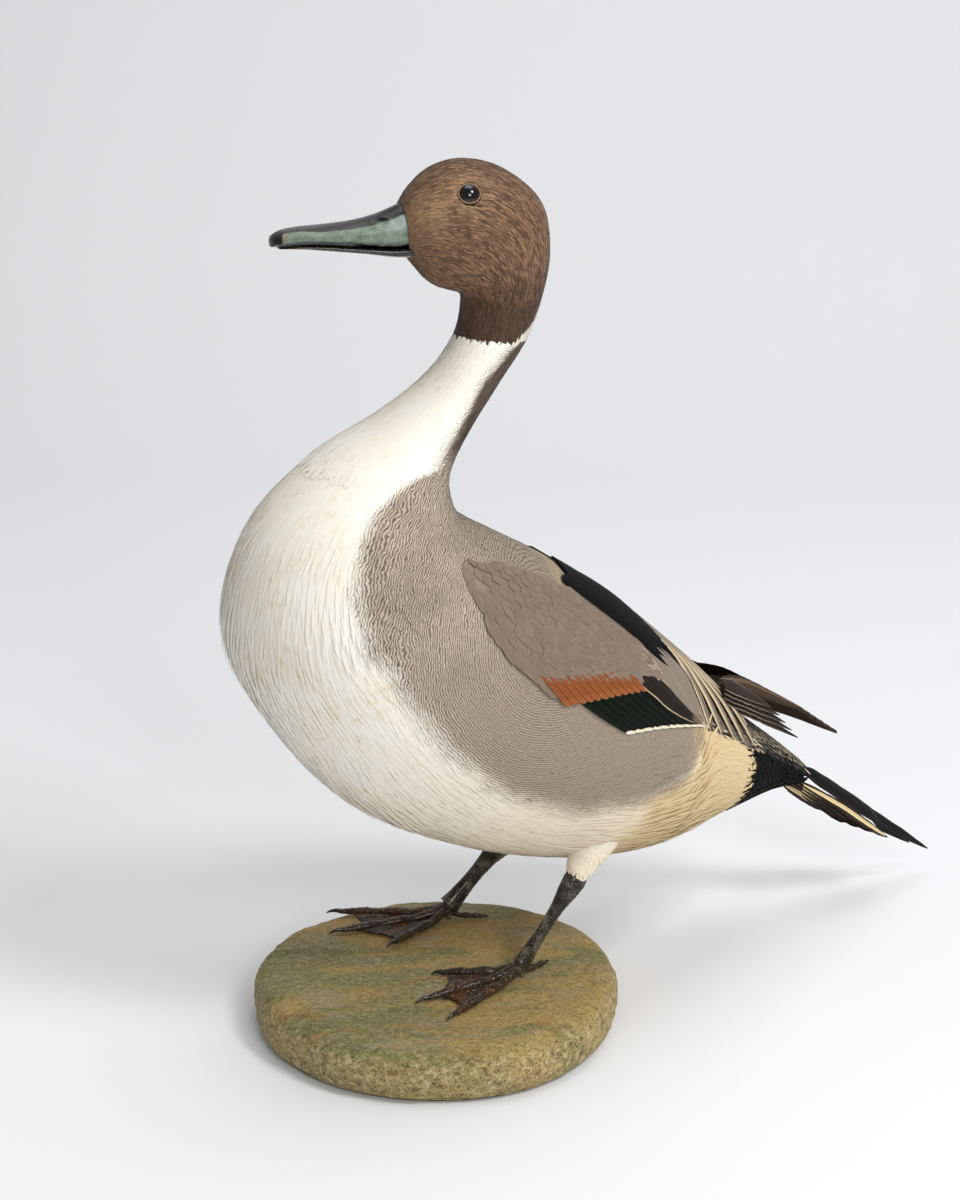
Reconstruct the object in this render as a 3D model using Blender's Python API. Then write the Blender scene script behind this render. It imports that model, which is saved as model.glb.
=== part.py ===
"""Standing drake pintail, mounted on a round stone-finish base.

Units are metres, +Z up.  The origin is the centre of the base's underside.  The bird
faces -X, its middle plane is y = BIRD_SIDE, and its left side is towards -Y.
The hide is one smooth loft from the tail base, over the back and belly, up the neck and
round the head.  A place on it is (s, turn, lift): the station along the bird, the angle
round the section from the back (0) to the belly (180, left side negative), and the
height off the hide.  Work in the functions below is in millimetres.
"""
import math

import bmesh
import bpy
import numpy as np
from mathutils import Matrix, Vector

MM = 0.001

# Driving dimensions, in millimetres.
BASE_RADIUS = 77.0
BASE_HEIGHT = 22.0
FELT_HEIGHT = 1.2
STONE_SKIN = 3.0
GAP = 0.35

HIDE = 2.8
FEATHER_LAYER = 1.3
WIRE_RADIUS = 1.1
NECK_WIRE_RADIUS = 1.5
CLEARANCE = 0.4

EYE_RADIUS = 5.2
EYE_DEPTH = 3.5
EYE_PLACE = (17.85, 60.0)

BIRD_SIDE = 9.0
HEAD_PIVOT_X = 30.0
HEAD_TURN = 13.0

# Stations of the hide: back x, back z, belly x, belly z, half width, head turn.
STATIONS = (
    (198, 75, 191, 66, 8, 0),
    (178, 92, 171, 68, 18, 0),
    (147, 117, 138, 66, 36, 0),
    (113, 149, 96, 59, 52, 0),
    (82, 178, 54, 63, 59, 0),
    (54, 198, 8, 78, 62, 0),
    (32, 211, -36, 103, 63, 0),
    (18, 219, -67, 139, 61, 0),
    (9, 226, -85, 178, 55, 0),
    (6, 235, -76, 218, 43, 0),
    (8, 244, -49, 247, 31, 0),
    (17, 257, -15, 265, 22, 0),
    (31, 273, 5, 279, 16.5, 0),
    (45, 290, 16, 293, 15, 2),
    (52, 307, 19, 306, 16, 5),
    (55, 326, 17, 310, 17.5, 9),
    (51, 345, 12, 311.5, 19, 13),
    (36, 358, 7, 313.5, 19, 13),
    (20, 362.5, 3, 316.5, 17.5, 13),
    (7, 360, 0, 320, 15.5, 13),
    (-2, 353, -2.5, 323, 12.5, 13),
    (-6.5, 346.5, -4.5, 326, 10, 13),
)
LAST = len(STATIONS) - 1
HOOD_EDGE = 13.05
NECK_ROOT = 10.05
TAIL_BASE = 0.25
SEAM = 0.05

# Where the white breast ends and the grey side begins: station, turn from the back.
BREAST_EDGE = ((2.05, 62), (3.0, 64), (3.2, 90), (3.9, 108), (4.6, 116), (5.3, 116),
               (6.0, 111), (7.3, 106), (8.9, 111), (9.5, 106), (10.1, 88))
# Where the mantle ends above the folded wing.
MANTLE_EDGE = ((3.0, 34), (4.3, 34), (5.3, 35), (6.6, 38), (7.9, 50), (9.0, 62), (10.1, 70))
SEAM_TURN = 0.5


def station_values(s):
    """Station numbers read from a smooth curve through the stations, for an array s."""
    table = np.array(STATIONS, dtype=float)
    s = np.clip(np.asarray(s, dtype=float), 0.0, LAST)
    i = np.minimum(s.astype(int), LAST - 1)
    f = (s - i)[..., None]
    start = table[i]
    end = table[i + 1]
    slope_start = (end - table[np.maximum(i - 1, 0)]) / 2
    slope_end = (table[np.minimum(i + 2, LAST)] - start) / 2
    f2 = f * f
    f3 = f2 * f
    return ((2 * f3 - 3 * f2 + 1) * start + (f3 - 2 * f2 + f) * slope_start
            + (3 * f2 - 2 * f3) * end + (f3 - f2) * slope_end)


def hide_surface(s, turn):
    """Points on the hide at stations s and turns in degrees."""
    s, turn = np.broadcast_arrays(np.asarray(s, float), np.asarray(turn, float))
    v = station_values(s)
    c = np.cos(np.radians(turn))
    side = np.sin(np.radians(turn)) * v[..., 4]
    x = (v[..., 0] + v[..., 2]) / 2 + (v[..., 0] - v[..., 2]) / 2 * c
    z = (v[..., 1] + v[..., 3]) / 2 + (v[..., 1] - v[..., 3]) / 2 * c
    yaw = -np.radians(v[..., 5])
    dx = x - HEAD_PIVOT_X
    px = HEAD_PIVOT_X + dx * np.cos(yaw) - side * np.sin(yaw)
    py = BIRD_SIDE + dx * np.sin(yaw) + side * np.cos(yaw)
    return np.stack([px, py, z], axis=-1)


def hide_normal(s, turn):
    """Outward unit normals of the hide."""
    s = np.asarray(s, float)
    turn = np.asarray(turn, float)
    along = hide_surface(s + 0.02, turn) - hide_surface(s - 0.02, turn)
    around = hide_surface(s, turn + 1) - hide_surface(s, turn - 1)
    normal = np.cross(around, along)
    return normal / np.linalg.norm(normal, axis=-1, keepdims=True)


def hide_point(s, turn, lift=0.0):
    """Points lifted off the hide along its outward normal."""
    return hide_surface(s, turn) + hide_normal(s, turn) * np.asarray(lift, float)[..., None]


def head_frame(point):
    """A point given in the straight head's own x, side and z, after the head has turned."""
    yaw = -math.radians(HEAD_TURN)
    x, side, z = point
    dx = x - HEAD_PIVOT_X
    return (HEAD_PIVOT_X + dx * math.cos(yaw) - side * math.sin(yaw),
            BIRD_SIDE + dx * math.sin(yaw) + side * math.cos(yaw), z)


def read_edge(edge, s):
    """Turn of an edge at station s, on straight lines between its points."""
    stations = [p[0] for p in edge]
    turns = [p[1] for p in edge]
    return np.interp(s, stations, turns)


def smooth_path(points, count):
    """A smooth curve of count points through the given points."""
    p = np.array(points, dtype=float)
    t = np.linspace(0, len(p) - 1, count)
    i = np.minimum(t.astype(int), len(p) - 2)
    f = (t - i)[:, None]
    slope_start = (p[i + 1] - p[np.maximum(i - 1, 0)]) / 2
    slope_end = (p[np.minimum(i + 2, len(p) - 1)] - p[i]) / 2
    return ((2 * f**3 - 3 * f**2 + 1) * p[i] + (f**3 - 2 * f**2 + f) * slope_start
            + (3 * f**2 - 2 * f**3) * p[i + 1] + (f**3 - f**2) * slope_end)


# Materials ------------------------------------------------------------------

COLOURS = {
    "hood_brown": (0.10, 0.055, 0.032, 0.85, 0.0),
    "white_feather": (0.80, 0.76, 0.66, 0.85, 0.0),
    "grey_feather": (0.32, 0.29, 0.25, 0.85, 0.0),
    "wing_grey": (0.27, 0.23, 0.20, 0.8, 0.0),
    "rufous_feather": (0.42, 0.16, 0.06, 0.8, 0.0),
    "green_feather": (0.01, 0.03, 0.015, 0.4, 0.0),
    "black_feather": (0.012, 0.012, 0.014, 0.6, 0.0),
    "striped_feather": (0.55, 0.48, 0.36, 0.75, 0.0),
    "flight_brown": (0.11, 0.075, 0.05, 0.75, 0.0),
    "bill_horn": (0.13, 0.17, 0.15, 0.25, 0.0),
    "bill_black": (0.02, 0.02, 0.022, 0.25, 0.0),
    "eye_glass": (0.02, 0.012, 0.008, 0.03, 0.0),
    "leg_skin": (0.05, 0.045, 0.04, 0.5, 0.0),
    "stone_paint": (0.24, 0.20, 0.10, 0.85, 0.0),
    "turned_wood": (0.55, 0.42, 0.27, 0.8, 0.0),
    "felt": (0.03, 0.06, 0.04, 1.0, 0.0),
    "wood_wool": (0.50, 0.40, 0.25, 0.9, 0.0),
    "wrapped_tow": (0.55, 0.47, 0.33, 0.95, 0.0),
    "carved_wood": (0.55, 0.40, 0.24, 0.7, 0.0),
    "steel_wire": (0.45, 0.44, 0.42, 0.35, 1.0),
}


def finish(obj, slot):
    """Gives an object its own Principled material in the slot's colour."""
    red, green, blue, rough, metal = COLOURS[slot]
    material = bpy.data.materials.new(slot + "_" + obj.name)
    material.use_nodes = True
    shader = material.node_tree.nodes["Principled BSDF"]
    shader.inputs["Base Color"].default_value = (red, green, blue, 1.0)
    shader.inputs["Roughness"].default_value = rough
    shader.inputs["Metallic"].default_value = metal
    material.diffuse_color = (red, green, blue, 1.0)
    obj.data.materials.clear()
    obj.data.materials.append(material)
    return obj


# Mesh makers ----------------------------------------------------------------

def mesh_object(name, points, faces, slot=None):
    """A closed solid from points in millimetres, with its faces turned out."""
    mesh = bpy.data.meshes.new(name)
    mesh.from_pydata([tuple(p) for p in np.asarray(points) * MM], [], faces)
    bm = bmesh.new()
    bm.from_mesh(mesh)
    bmesh.ops.recalc_face_normals(bm, faces=bm.faces)
    bmesh.ops.triangulate(bm, faces=bm.faces)
    bm.to_mesh(mesh)
    bm.free()
    mesh.shade_smooth()
    mesh.set_sharp_from_angle(angle=math.radians(40))
    obj = bpy.data.objects.new(name, mesh)
    bpy.context.scene.collection.objects.link(obj)
    if slot:
        finish(obj, slot)
    return obj


def ring_faces(rings, size, start=0):
    """Quads between successive rings of the same size."""
    faces = []
    for r in range(rings - 1):
        a = start + r * size
        for k in range(size):
            n = (k + 1) % size
            faces.append((a + k, a + n, a + size + n, a + size + k))
    return faces


def loft(name, rings, slot=None):
    """A closed solid through rings of points, with a point closing each end."""
    rings = [np.asarray(r, dtype=float) for r in rings]
    size = len(rings[0])
    points = np.concatenate(rings + [rings[0].mean(0)[None], rings[-1].mean(0)[None]])
    faces = ring_faces(len(rings), size)
    first = len(rings) * size
    last = first + 1
    tail = (len(rings) - 1) * size
    for k in range(size):
        n = (k + 1) % size
        faces.append((first, n, k))
        faces.append((last, tail + k, tail + n))
    return mesh_object(name, points, faces, slot)


def sleeve(name, outer, inner, slot):
    """An open-ended tube between outer and inner rings."""
    size = len(outer[0])
    count = len(outer)
    points = np.concatenate(list(outer) + list(inner))
    faces = ring_faces(count, size) + ring_faces(count, size, count * size)
    for row in (0, count - 1):
        a = row * size
        b = (count + row) * size
        for k in range(size):
            n = (k + 1) % size
            faces.append((a + k, a + n, b + n, b + k))
    return mesh_object(name, points, faces, slot)


def hide_rings(start, end, rows, sides, lift):
    """Full rings of the hide between two stations, at one lift."""
    turns = np.arange(sides) * 360.0 / sides
    return [hide_point(np.full(sides, s), turns, np.full(sides, float(lift)))
            for s in np.linspace(start, end, rows)]


def patch(name, slot, stations, low_edge, high_edge, lifts, rows, columns):
    """A closed plate over part of the hide, between two edges given as functions of s."""
    s = np.linspace(stations[0], stations[1], rows)[:, None]
    across = np.linspace(0, 1, columns)[None, :]
    low = np.array([low_edge(v) for v in s[:, 0]])[:, None]
    high = np.array([high_edge(v) for v in s[:, 0]])[:, None]
    turn = low + (high - low) * across
    s = np.broadcast_to(s, turn.shape)
    inner = hide_point(s, turn, np.full(turn.shape, lifts[0])).reshape(-1, 3)
    outer = hide_point(s, turn, np.full(turn.shape, lifts[1])).reshape(-1, 3)
    size = rows * columns
    faces = []
    for r in range(rows - 1):
        for c in range(columns - 1):
            k = r * columns + c
            quad = (k, k + 1, k + columns + 1, k + columns)
            faces.append(quad)
            faces.append(tuple(size + v for v in reversed(quad)))
    rim = list(range(columns))
    rim += [r * columns + columns - 1 for r in range(1, rows)]
    rim += [(rows - 1) * columns + c for c in range(columns - 2, -1, -1)]
    rim += [r * columns for r in range(rows - 2, 0, -1)]
    for k, a in enumerate(rim):
        b = rim[(k + 1) % len(rim)]
        faces.append((a, size + a, size + b, b))
    return mesh_object(name, np.concatenate([inner, outer]), faces, slot)


def frames_along(path, normal):
    """Side and up directions at each point of a path, with up near the given normal."""
    path = np.asarray(path)
    forward = np.gradient(path, axis=0)
    forward /= np.linalg.norm(forward, axis=1, keepdims=True)
    normal = np.broadcast_to(np.asarray(normal, float), path.shape)
    side = np.cross(normal, forward)
    side /= np.linalg.norm(side, axis=1, keepdims=True)
    return side, np.cross(forward, side)


def blade(name, slot, path, half_widths, normal, thickness, camber=0.0, rows=12):
    """A flat feather-like blade along a path, thin at its edges."""
    points = smooth_path(path, rows)
    widths = np.interp(np.linspace(0, 1, rows), np.linspace(0, 1, len(half_widths)),
                       half_widths)
    side, up = frames_along(points, normal)
    rings = []
    for p, w, a, b in zip(points, widths, side, up):
        ring = []
        for across, height in ((-1, 0), (-0.5, 0.5), (0, 0.6), (0.5, 0.5), (1, 0),
                               (0.5, -0.4), (0, -0.4), (-0.5, -0.4)):
            drop = -camber * across * across
            ring.append(p + a * w * across + b * (thickness * height + drop))
        rings.append(np.array(ring))
    return loft(name, rings, slot)


def tube(name, path, radius, slot=None, sides=10, rows=None):
    """A round rod along a smooth path, with a radius or a radius for each path point."""
    rows = rows or 4 * len(path)
    points = smooth_path(path, rows)
    radii = np.broadcast_to(np.asarray(radius, float), (len(path),)) if np.ndim(radius) else \
        np.full(len(path), float(radius))
    radii = np.interp(np.linspace(0, 1, rows), np.linspace(0, 1, len(path)), radii)
    side, up = frames_along(points, (0.31, 0.05, 0.95) if abs(path[0][2] - path[-1][2]) < 8
                            else (0.9, 0.1, -0.2))
    angles = np.arange(sides) * 2 * math.pi / sides
    rings = [p + r * (np.cos(angles)[:, None] * a + np.sin(angles)[:, None] * b)
             for p, r, a, b in zip(points, radii, side, up)]
    return loft(name, rings, slot)


def ball(name, centre, radius, slot=None):
    """A round ball."""
    mesh = bpy.data.meshes.new(name)
    bm = bmesh.new()
    bmesh.ops.create_uvsphere(bm, u_segments=16, v_segments=10, radius=radius * MM,
                              matrix=Matrix.Translation(Vector(centre) * MM))
    bm.to_mesh(mesh)
    bm.free()
    mesh.shade_smooth()
    obj = bpy.data.objects.new(name, mesh)
    bpy.context.scene.collection.objects.link(obj)
    if slot:
        finish(obj, slot)
    return obj


def cutter(obj):
    """Marks an object as a cutter, which is not part of the model."""
    obj.hide_render = True
    obj.display_type = "WIRE"
    return obj


def cut(obj, *cutters):
    """Subtracts each cutter from the object."""
    for tool in cutters:
        boolean = obj.modifiers.new("cut_" + tool.name[:40], "BOOLEAN")
        boolean.operation = "DIFFERENCE"
        boolean.object = tool
    return obj


# Base -----------------------------------------------------------------------

def base_outline(angle):
    """Radius factor of the slab, which is not quite round."""
    return (1 + 0.012 * math.cos(2 * angle + 0.5) + 0.012 * math.cos(3 * angle - 0.8)
            + 0.008 * math.cos(5 * angle + 1.1))


def slab_rings(profile, sides=36):
    """Rings of a turned profile of (radius, z), following the slab's outline."""
    rings = []
    for radius, z in profile:
        ring = []
        for k in range(sides):
            angle = k * 2 * math.pi / sides
            r = radius * base_outline(angle)
            ring.append((r * math.cos(angle), r * math.sin(angle), z))
        rings.append(np.array(ring))
    return rings


def build_base(wire_holes, nut_recesses):
    """Felt pad, wooden core and the painted stone skin over it."""
    r = BASE_RADIUS
    loft("base_felt", slab_rings(((r - 5, 0), (r - 5, FELT_HEIGHT))), "felt")
    bottom = FELT_HEIGHT + GAP
    skin = STONE_SKIN
    outer = ((r - 3, bottom), (r, 8), (r - 0.6, 16), (r - 3, 20), (r - 8, 21.7),
             (0.5 * r, BASE_HEIGHT))
    inner = ((r - 3 - skin, bottom), (r - skin, 8), (r - 0.6 - skin, 15), (r - 3 - skin, 17.4),
             (r - 8 - skin, 18.6), (0.5 * r - skin, BASE_HEIGHT - skin))
    outer_rings = slab_rings(outer)
    inner_rings = slab_rings(inner)
    size = len(outer_rings[0])
    count = len(outer_rings)
    points = np.concatenate(outer_rings + inner_rings
                            + [np.array([[0, 0, BASE_HEIGHT], [0, 0, BASE_HEIGHT - skin]])])
    faces = ring_faces(count, size) + ring_faces(count, size, count * size)
    top = 2 * count * size
    for k in range(size):
        n = (k + 1) % size
        faces.append((k, n, count * size + n, count * size + k))
        faces.append(((count - 1) * size + k, (count - 1) * size + n, top))
        faces.append(((2 * count - 1) * size + n, (2 * count - 1) * size + k, top + 1))
    stone = mesh_object("base_stone", points, faces, "stone_paint")
    core_profile = [(radius - GAP, z - GAP if z > 12 else z) for radius, z in inner]
    core = loft("base_core", slab_rings(core_profile), "turned_wood")
    cut(stone, *wire_holes)
    cut(core, *wire_holes, *nut_recesses)


# Legs -----------------------------------------------------------------------

LEGS = {
    "left": {"joint": (28, -23, 28.5), "ankle": (53, -24, 61), "hip": (66, -23, 84),
             "in_form": (62, -16, 116), "heading": 180.0, "side": -1},
    "right": {"joint": (29, 42, 28.5), "ankle": (57, 40, 56), "hip": (70, 40, 80),
              "in_form": (64, 33, 114), "heading": 168.0, "side": 1},
}
TARSUS_RADII = (3.1, 2.8, 3.1, 3.9, 4.5)
KNUCKLE_RADIUS = 3.4
NUT_HEIGHT = 4.0
NUT_RADIUS = 3.6
RECESS_DEPTH = FELT_HEIGHT + 6.0
RECESS_RADIUS = 6.0
# Front toes: how far each turns in towards the other foot, in degrees, and its length.
TOES = (("inner", 31.0, 39.0), ("middle", 0.0, 52.0), ("outer", -22.5, 52.0))


def wire_path(leg):
    """Route of the leg wire, from the nut under the base to inside the body form."""
    j = np.array(leg["joint"], float)
    a = np.array(leg["ankle"], float)
    foot = (j[0], j[1], FELT_HEIGHT + 1.3)
    return [foot, (j[0], j[1], 12), (j[0], j[1], 22), tuple(j + (0.6, 0, 1.5)),
            tuple(j + (a - j) * 0.5), tuple(a), leg["hip"], leg["in_form"]]


def toe_ring(centre, heading, radius, height):
    """A section of a toe, flattened underneath so that it rests on the base."""
    side = np.array((-math.sin(heading), math.cos(heading), 0.0))
    ring = []
    for k in range(8):
        angle = k * math.pi / 4
        z = max(math.sin(angle) * height, -0.6 * height)
        ring.append(centre + side * radius * math.cos(angle) + np.array((0, 0, z)))
    return np.array(ring)


def build_toe(name, leg, offset, length, radius=2.3):
    """One toe with its claw: knuckled, low and curving down at the tip."""
    heading = math.radians(leg["heading"] + offset)
    start = np.array(leg["joint"], float)
    ahead = np.array((math.cos(heading), math.sin(heading), 0.0))
    top = BASE_HEIGHT + GAP
    rings = []
    for f, r, h in ((0.06, 2.2, 2.2), (0.2, 2.2, 2.0), (0.34, 1.9, 1.7), (0.42, 2.2, 2.0),
                    (0.6, 1.7, 1.5), (0.68, 2.0, 1.8), (0.84, 1.6, 1.5), (0.9, 1.3, 1.3),
                    (0.96, 0.8, 0.9), (1.0, 0.3, 0.35)):
        drop = max(0.0, 1 - f * 4) * 3.0
        h = h * radius / 2.3
        z = top + 0.6 * h + 0.15 + drop
        centre = np.array((start[0], start[1], 0)) + ahead * length * f
        centre[2] = z
        rings.append(toe_ring(centre, heading, r * radius / 2.3, h))
    return loft(name, rings)


def build_web(name, leg):
    """The web between the front toes, scalloped at its front edge."""
    start = np.array(leg["joint"], float)
    low = BASE_HEIGHT + GAP + 0.5
    high = low + 0.8
    outline = []
    inner, middle, outer = ((turn, 0.78 * length) for _, turn, length in TOES)
    scallop = 0.88 * middle[1]
    reach = (inner, (inner[0] / 2, scallop), middle, (outer[0] / 2, scallop), outer)
    for offset, length in reach:
        heading = math.radians(leg["heading"] + offset * leg["side"])
        outline.append((start[0] + math.cos(heading) * length,
                        start[1] + math.sin(heading) * length))
    heading = math.radians(leg["heading"])
    outline.append((start[0] + math.cos(heading) * 5, start[1] + math.sin(heading) * 5))
    bottom = [(x, y, low) for x, y in outline]
    top = [(x, y, high) for x, y in outline]
    size = len(outline)
    faces = [tuple(range(size)), tuple(range(2 * size - 1, size - 1, -1))]
    faces += [(k, (k + 1) % size, size + (k + 1) % size, size + k) for k in range(size)]
    return mesh_object(name, np.array(bottom + top), faces)


def join_solids(name, pieces, slot):
    """Joins overlapping solids into one by Boolean union."""
    body = pieces[0]
    for piece in pieces[1:]:
        boolean = body.modifiers.new("join_" + piece.name, "BOOLEAN")
        boolean.operation = "UNION"
        boolean.object = cutter(piece)
    body.name = name
    return finish(body, slot)


def build_leg(side, leg, hide_tool):
    """Wire, foot, tarsus, hind toe, thigh tuft and nut; returns the wire's and nut's cutters."""
    j = np.array(leg["joint"], float)
    a = np.array(leg["ankle"], float)
    hip = np.array(leg["hip"], float)
    path = wire_path(leg)
    tube(side + "_leg_wire", path, WIRE_RADIUS, "steel_wire", sides=6, rows=18)
    hole = cutter(tube(side + "_leg_hole", [(j[0], j[1], -2)] + path, WIRE_RADIUS + CLEARANCE,
                       sides=8, rows=20))
    direction = (a - j) / np.linalg.norm(a - j)
    top = a + direction * 3
    tarsus_path = [j + direction * 1.2, j + (a - j) * 0.25, j + (a - j) * 0.5,
                   j + (a - j) * 0.8, top]
    tarsus = tube(side + "_tarsus", [tuple(p) for p in tarsus_path], TARSUS_RADII, "leg_skin",
                  sides=12, rows=10)
    knuckle = ball(side + "_knuckle", j - (0, 0, 2.0), KNUCKLE_RADIUS)
    toes = [build_toe(side + "_toe_" + label, leg, leg["side"] * turn, length)
            for label, turn, length in TOES]
    web = build_web(side + "_web", leg)
    foot = join_solids(side + "_foot", [knuckle] + toes + [web], "leg_skin")
    tarsus_tool = cutter(tube(side + "_tarsus_room", [tuple(p) for p in tarsus_path],
                              tuple(r + GAP for r in TARSUS_RADII), sides=12, rows=10))
    floor = cutter(loft(side + "_foot_floor", slab_rings(((90, 12), (90, BASE_HEIGHT + GAP)),
                                                         24)))
    cut(foot, floor, tarsus_tool, hole)
    cut(tarsus, hole)
    hind = build_toe(side + "_hind_toe", leg, 180 - leg["side"] * 18, 17, 1.5)
    finish(hind, "leg_skin")
    hind_room = cutter(ball(side + "_hind_room", j - (0, 0, 2.0), KNUCKLE_RADIUS + GAP))
    cut(hind, hind_room, floor, tarsus_tool, hole)
    thigh_path = [tuple(a + direction * 0.4), tuple(a + (hip - a) * 0.35),
                  tuple(a + (hip - a) * 0.8), tuple(hip + (hip - a) * 0.3)]
    thigh = tube(side + "_thigh_feathers", thigh_path, (5.2, 6.8, 11.5, 15), "white_feather",
                 sides=14, rows=10)
    cut(thigh, hide_tool, tarsus_tool, hole)
    build_ring(side + "_wire_nut", (j[0], j[1]), FELT_HEIGHT + 1.0, NUT_HEIGHT, NUT_RADIUS, 6)
    recess = cutter(loft(side + "_nut_recess", disc_rings((j[0], j[1]), 0.0, RECESS_DEPTH,
                                                         RECESS_RADIUS, 20)))
    return hole, recess


def disc_rings(centre, bottom, top, radius, sides):
    """Two rings of a short upright cylinder."""
    angles = np.arange(sides) * 2 * math.pi / sides
    return [np.stack([centre[0] + radius * np.cos(angles), centre[1] + radius * np.sin(angles),
                      np.full(sides, z)], axis=1) for z in (bottom, top)]


def build_ring(name, centre, bottom, height, radius, sides):
    """A nut: a short prism with a hole for the wire."""
    outer = disc_rings(centre, bottom, bottom + height, radius, sides)
    inner = disc_rings(centre, bottom, bottom + height, WIRE_RADIUS + CLEARANCE, sides)
    return sleeve(name, outer, inner, "steel_wire")


# Inner form -----------------------------------------------------------------

NECK_WIRE_PATH = ((20, BIRD_SIDE, 186), (4, BIRD_SIDE, 208), (-8, BIRD_SIDE, 232),
                  (-1, BIRD_SIDE, 256), (15, BIRD_SIDE, 273), (28, BIRD_SIDE, 291),
                  (34, BIRD_SIDE, 309), (33, BIRD_SIDE, 324), (28, BIRD_SIDE, 338))
TAIL_WIRE_PATH = ((128, BIRD_SIDE, 104), (150, BIRD_SIDE, 92), (170, BIRD_SIDE, 82),
                  (184, BIRD_SIDE, 74.5))


def build_form(leg_tools, hide_holes):
    """Body form, neck wrapping and head form, with the wires that join them."""
    lift = -HIDE - 0.8
    form = loft("body_form", hide_rings(1.6, 9.9, 13, 18, lift - 0.7), "wood_wool")
    wrap = loft("neck_wrap", hide_rings(10.15, 14.3, 7, 12, lift), "wrapped_tow")
    skull = loft("head_form", hide_rings(14.55, 20.6, 8, 14, lift), "carved_wood")
    tube("neck_wire", NECK_WIRE_PATH, NECK_WIRE_RADIUS, "steel_wire", sides=6, rows=18)
    neck_hole = cutter(tube("neck_wire_hole", NECK_WIRE_PATH, NECK_WIRE_RADIUS + CLEARANCE,
                            sides=6, rows=18))
    extend_hole_ends(neck_hole)
    tube("tail_wire", TAIL_WIRE_PATH, WIRE_RADIUS, "steel_wire", sides=6, rows=8)
    tail_hole = cutter(tube("tail_wire_hole", TAIL_WIRE_PATH, WIRE_RADIUS + CLEARANCE, sides=6,
                            rows=8))
    extend_hole_ends(tail_hole)
    cut(form, neck_hole, tail_hole, *leg_tools, *hide_holes)
    cut(wrap, neck_hole)
    sockets = [cutter(ball(side + "_eye_socket", eye_centre(sign), EYE_RADIUS + GAP))
               for side, sign in (("left", -1), ("right", 1))]
    cut(skull, neck_hole, *sockets)


def extend_hole_ends(obj, grow=1.0):
    """Pushes a cutter's two end points out, so that a rod's end keeps a gap too."""
    mesh = obj.data
    count = len(mesh.vertices)
    centre = sum((v.co for v in mesh.vertices), Vector()) / count
    for vertex in (mesh.vertices[count - 2], mesh.vertices[count - 1]):
        vertex.co += (vertex.co - centre).normalized() * grow * MM


# Head -----------------------------------------------------------------------

def eye_centre(sign):
    """Centre of an eye, sunk behind the hide."""
    s, turn = EYE_PLACE
    return tuple(hide_point(np.array(s), np.array(sign * turn), np.array(-EYE_DEPTH)))


def build_eyes():
    """Two glass eyes; returns the cutters for their openings in the hood."""
    rooms = []
    for side, sign in (("left", -1), ("right", 1)):
        ball(side + "_eye", eye_centre(sign), EYE_RADIUS, "eye_glass")
        rooms.append(cutter(ball(side + "_eye_room", eye_centre(sign), EYE_RADIUS + GAP)))
    return rooms


# Bill sections in the head's own frame: x, top z, bottom z, half width.
UPPER_BILL = ((-7.2, 345.8, 331.5, 9.0), (-12, 343.8, 330.6, 9.2), (-18, 341.8, 330.6, 9.3),
              (-26, 340.2, 331.2, 9.2), (-36, 339.2, 332.2, 9.2), (-46, 338.6, 333.0, 9.3),
              (-53, 337.6, 332.6, 8.2), (-57, 335.8, 332.0, 5.2), (-58.2, 334.4, 332.2, 2.4))
LOWER_BILL = ((-5.6, 330.6, 325.2, 8.0), (-12, 330.2, 325.8, 8.4), (-22, 330.4, 327.4, 8.4),
              (-34, 331.6, 328.9, 8.2), (-45, 332.3, 330.3, 8.2), (-52, 332.0, 330.8, 7.0),
              (-55.4, 331.4, 330.8, 4.6))


def bill_ring(x, top, bottom, half_width, flat_top, flat_bottom, sides=16):
    """A section of the bill; a flat side is squarer."""
    ring = []
    middle = (top + bottom) / 2
    height = (top - bottom) / 2
    for k in range(sides):
        angle = k * 2 * math.pi / sides
        c = math.cos(angle)
        s = math.sin(angle)
        power = flat_top if s > 0 else flat_bottom
        z = middle + height * math.copysign(abs(s) ** power, s)
        ring.append(head_frame((x, half_width * c, z)))
    return np.array(ring)


def build_bill():
    """Upper and lower halves of the bill."""
    loft("upper_bill", [bill_ring(x, t, b, w, 1.15, 0.45) for x, t, b, w in UPPER_BILL],
         "bill_horn")
    loft("lower_bill", [bill_ring(x, t, b, w, 0.45, 0.9) for x, t, b, w in LOWER_BILL],
         "bill_black")


def build_head_and_neck(eye_rooms):
    """The brown hood and the white neck."""
    hood = sleeve("head_hide", hide_rings(HOOD_EDGE + SEAM, LAST, 12, 20, 0.0),
                  hide_rings(HOOD_EDGE + SEAM, LAST, 12, 20, -HIDE), "hood_brown")
    cut(hood, *eye_rooms)
    sleeve("neck_hide", hide_rings(NECK_ROOT + SEAM, HOOD_EDGE - SEAM, 6, 20, 0.0),
           hide_rings(NECK_ROOT + SEAM, HOOD_EDGE - SEAM, 6, 20, -HIDE), "white_feather")


# Body feathers --------------------------------------------------------------

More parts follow.
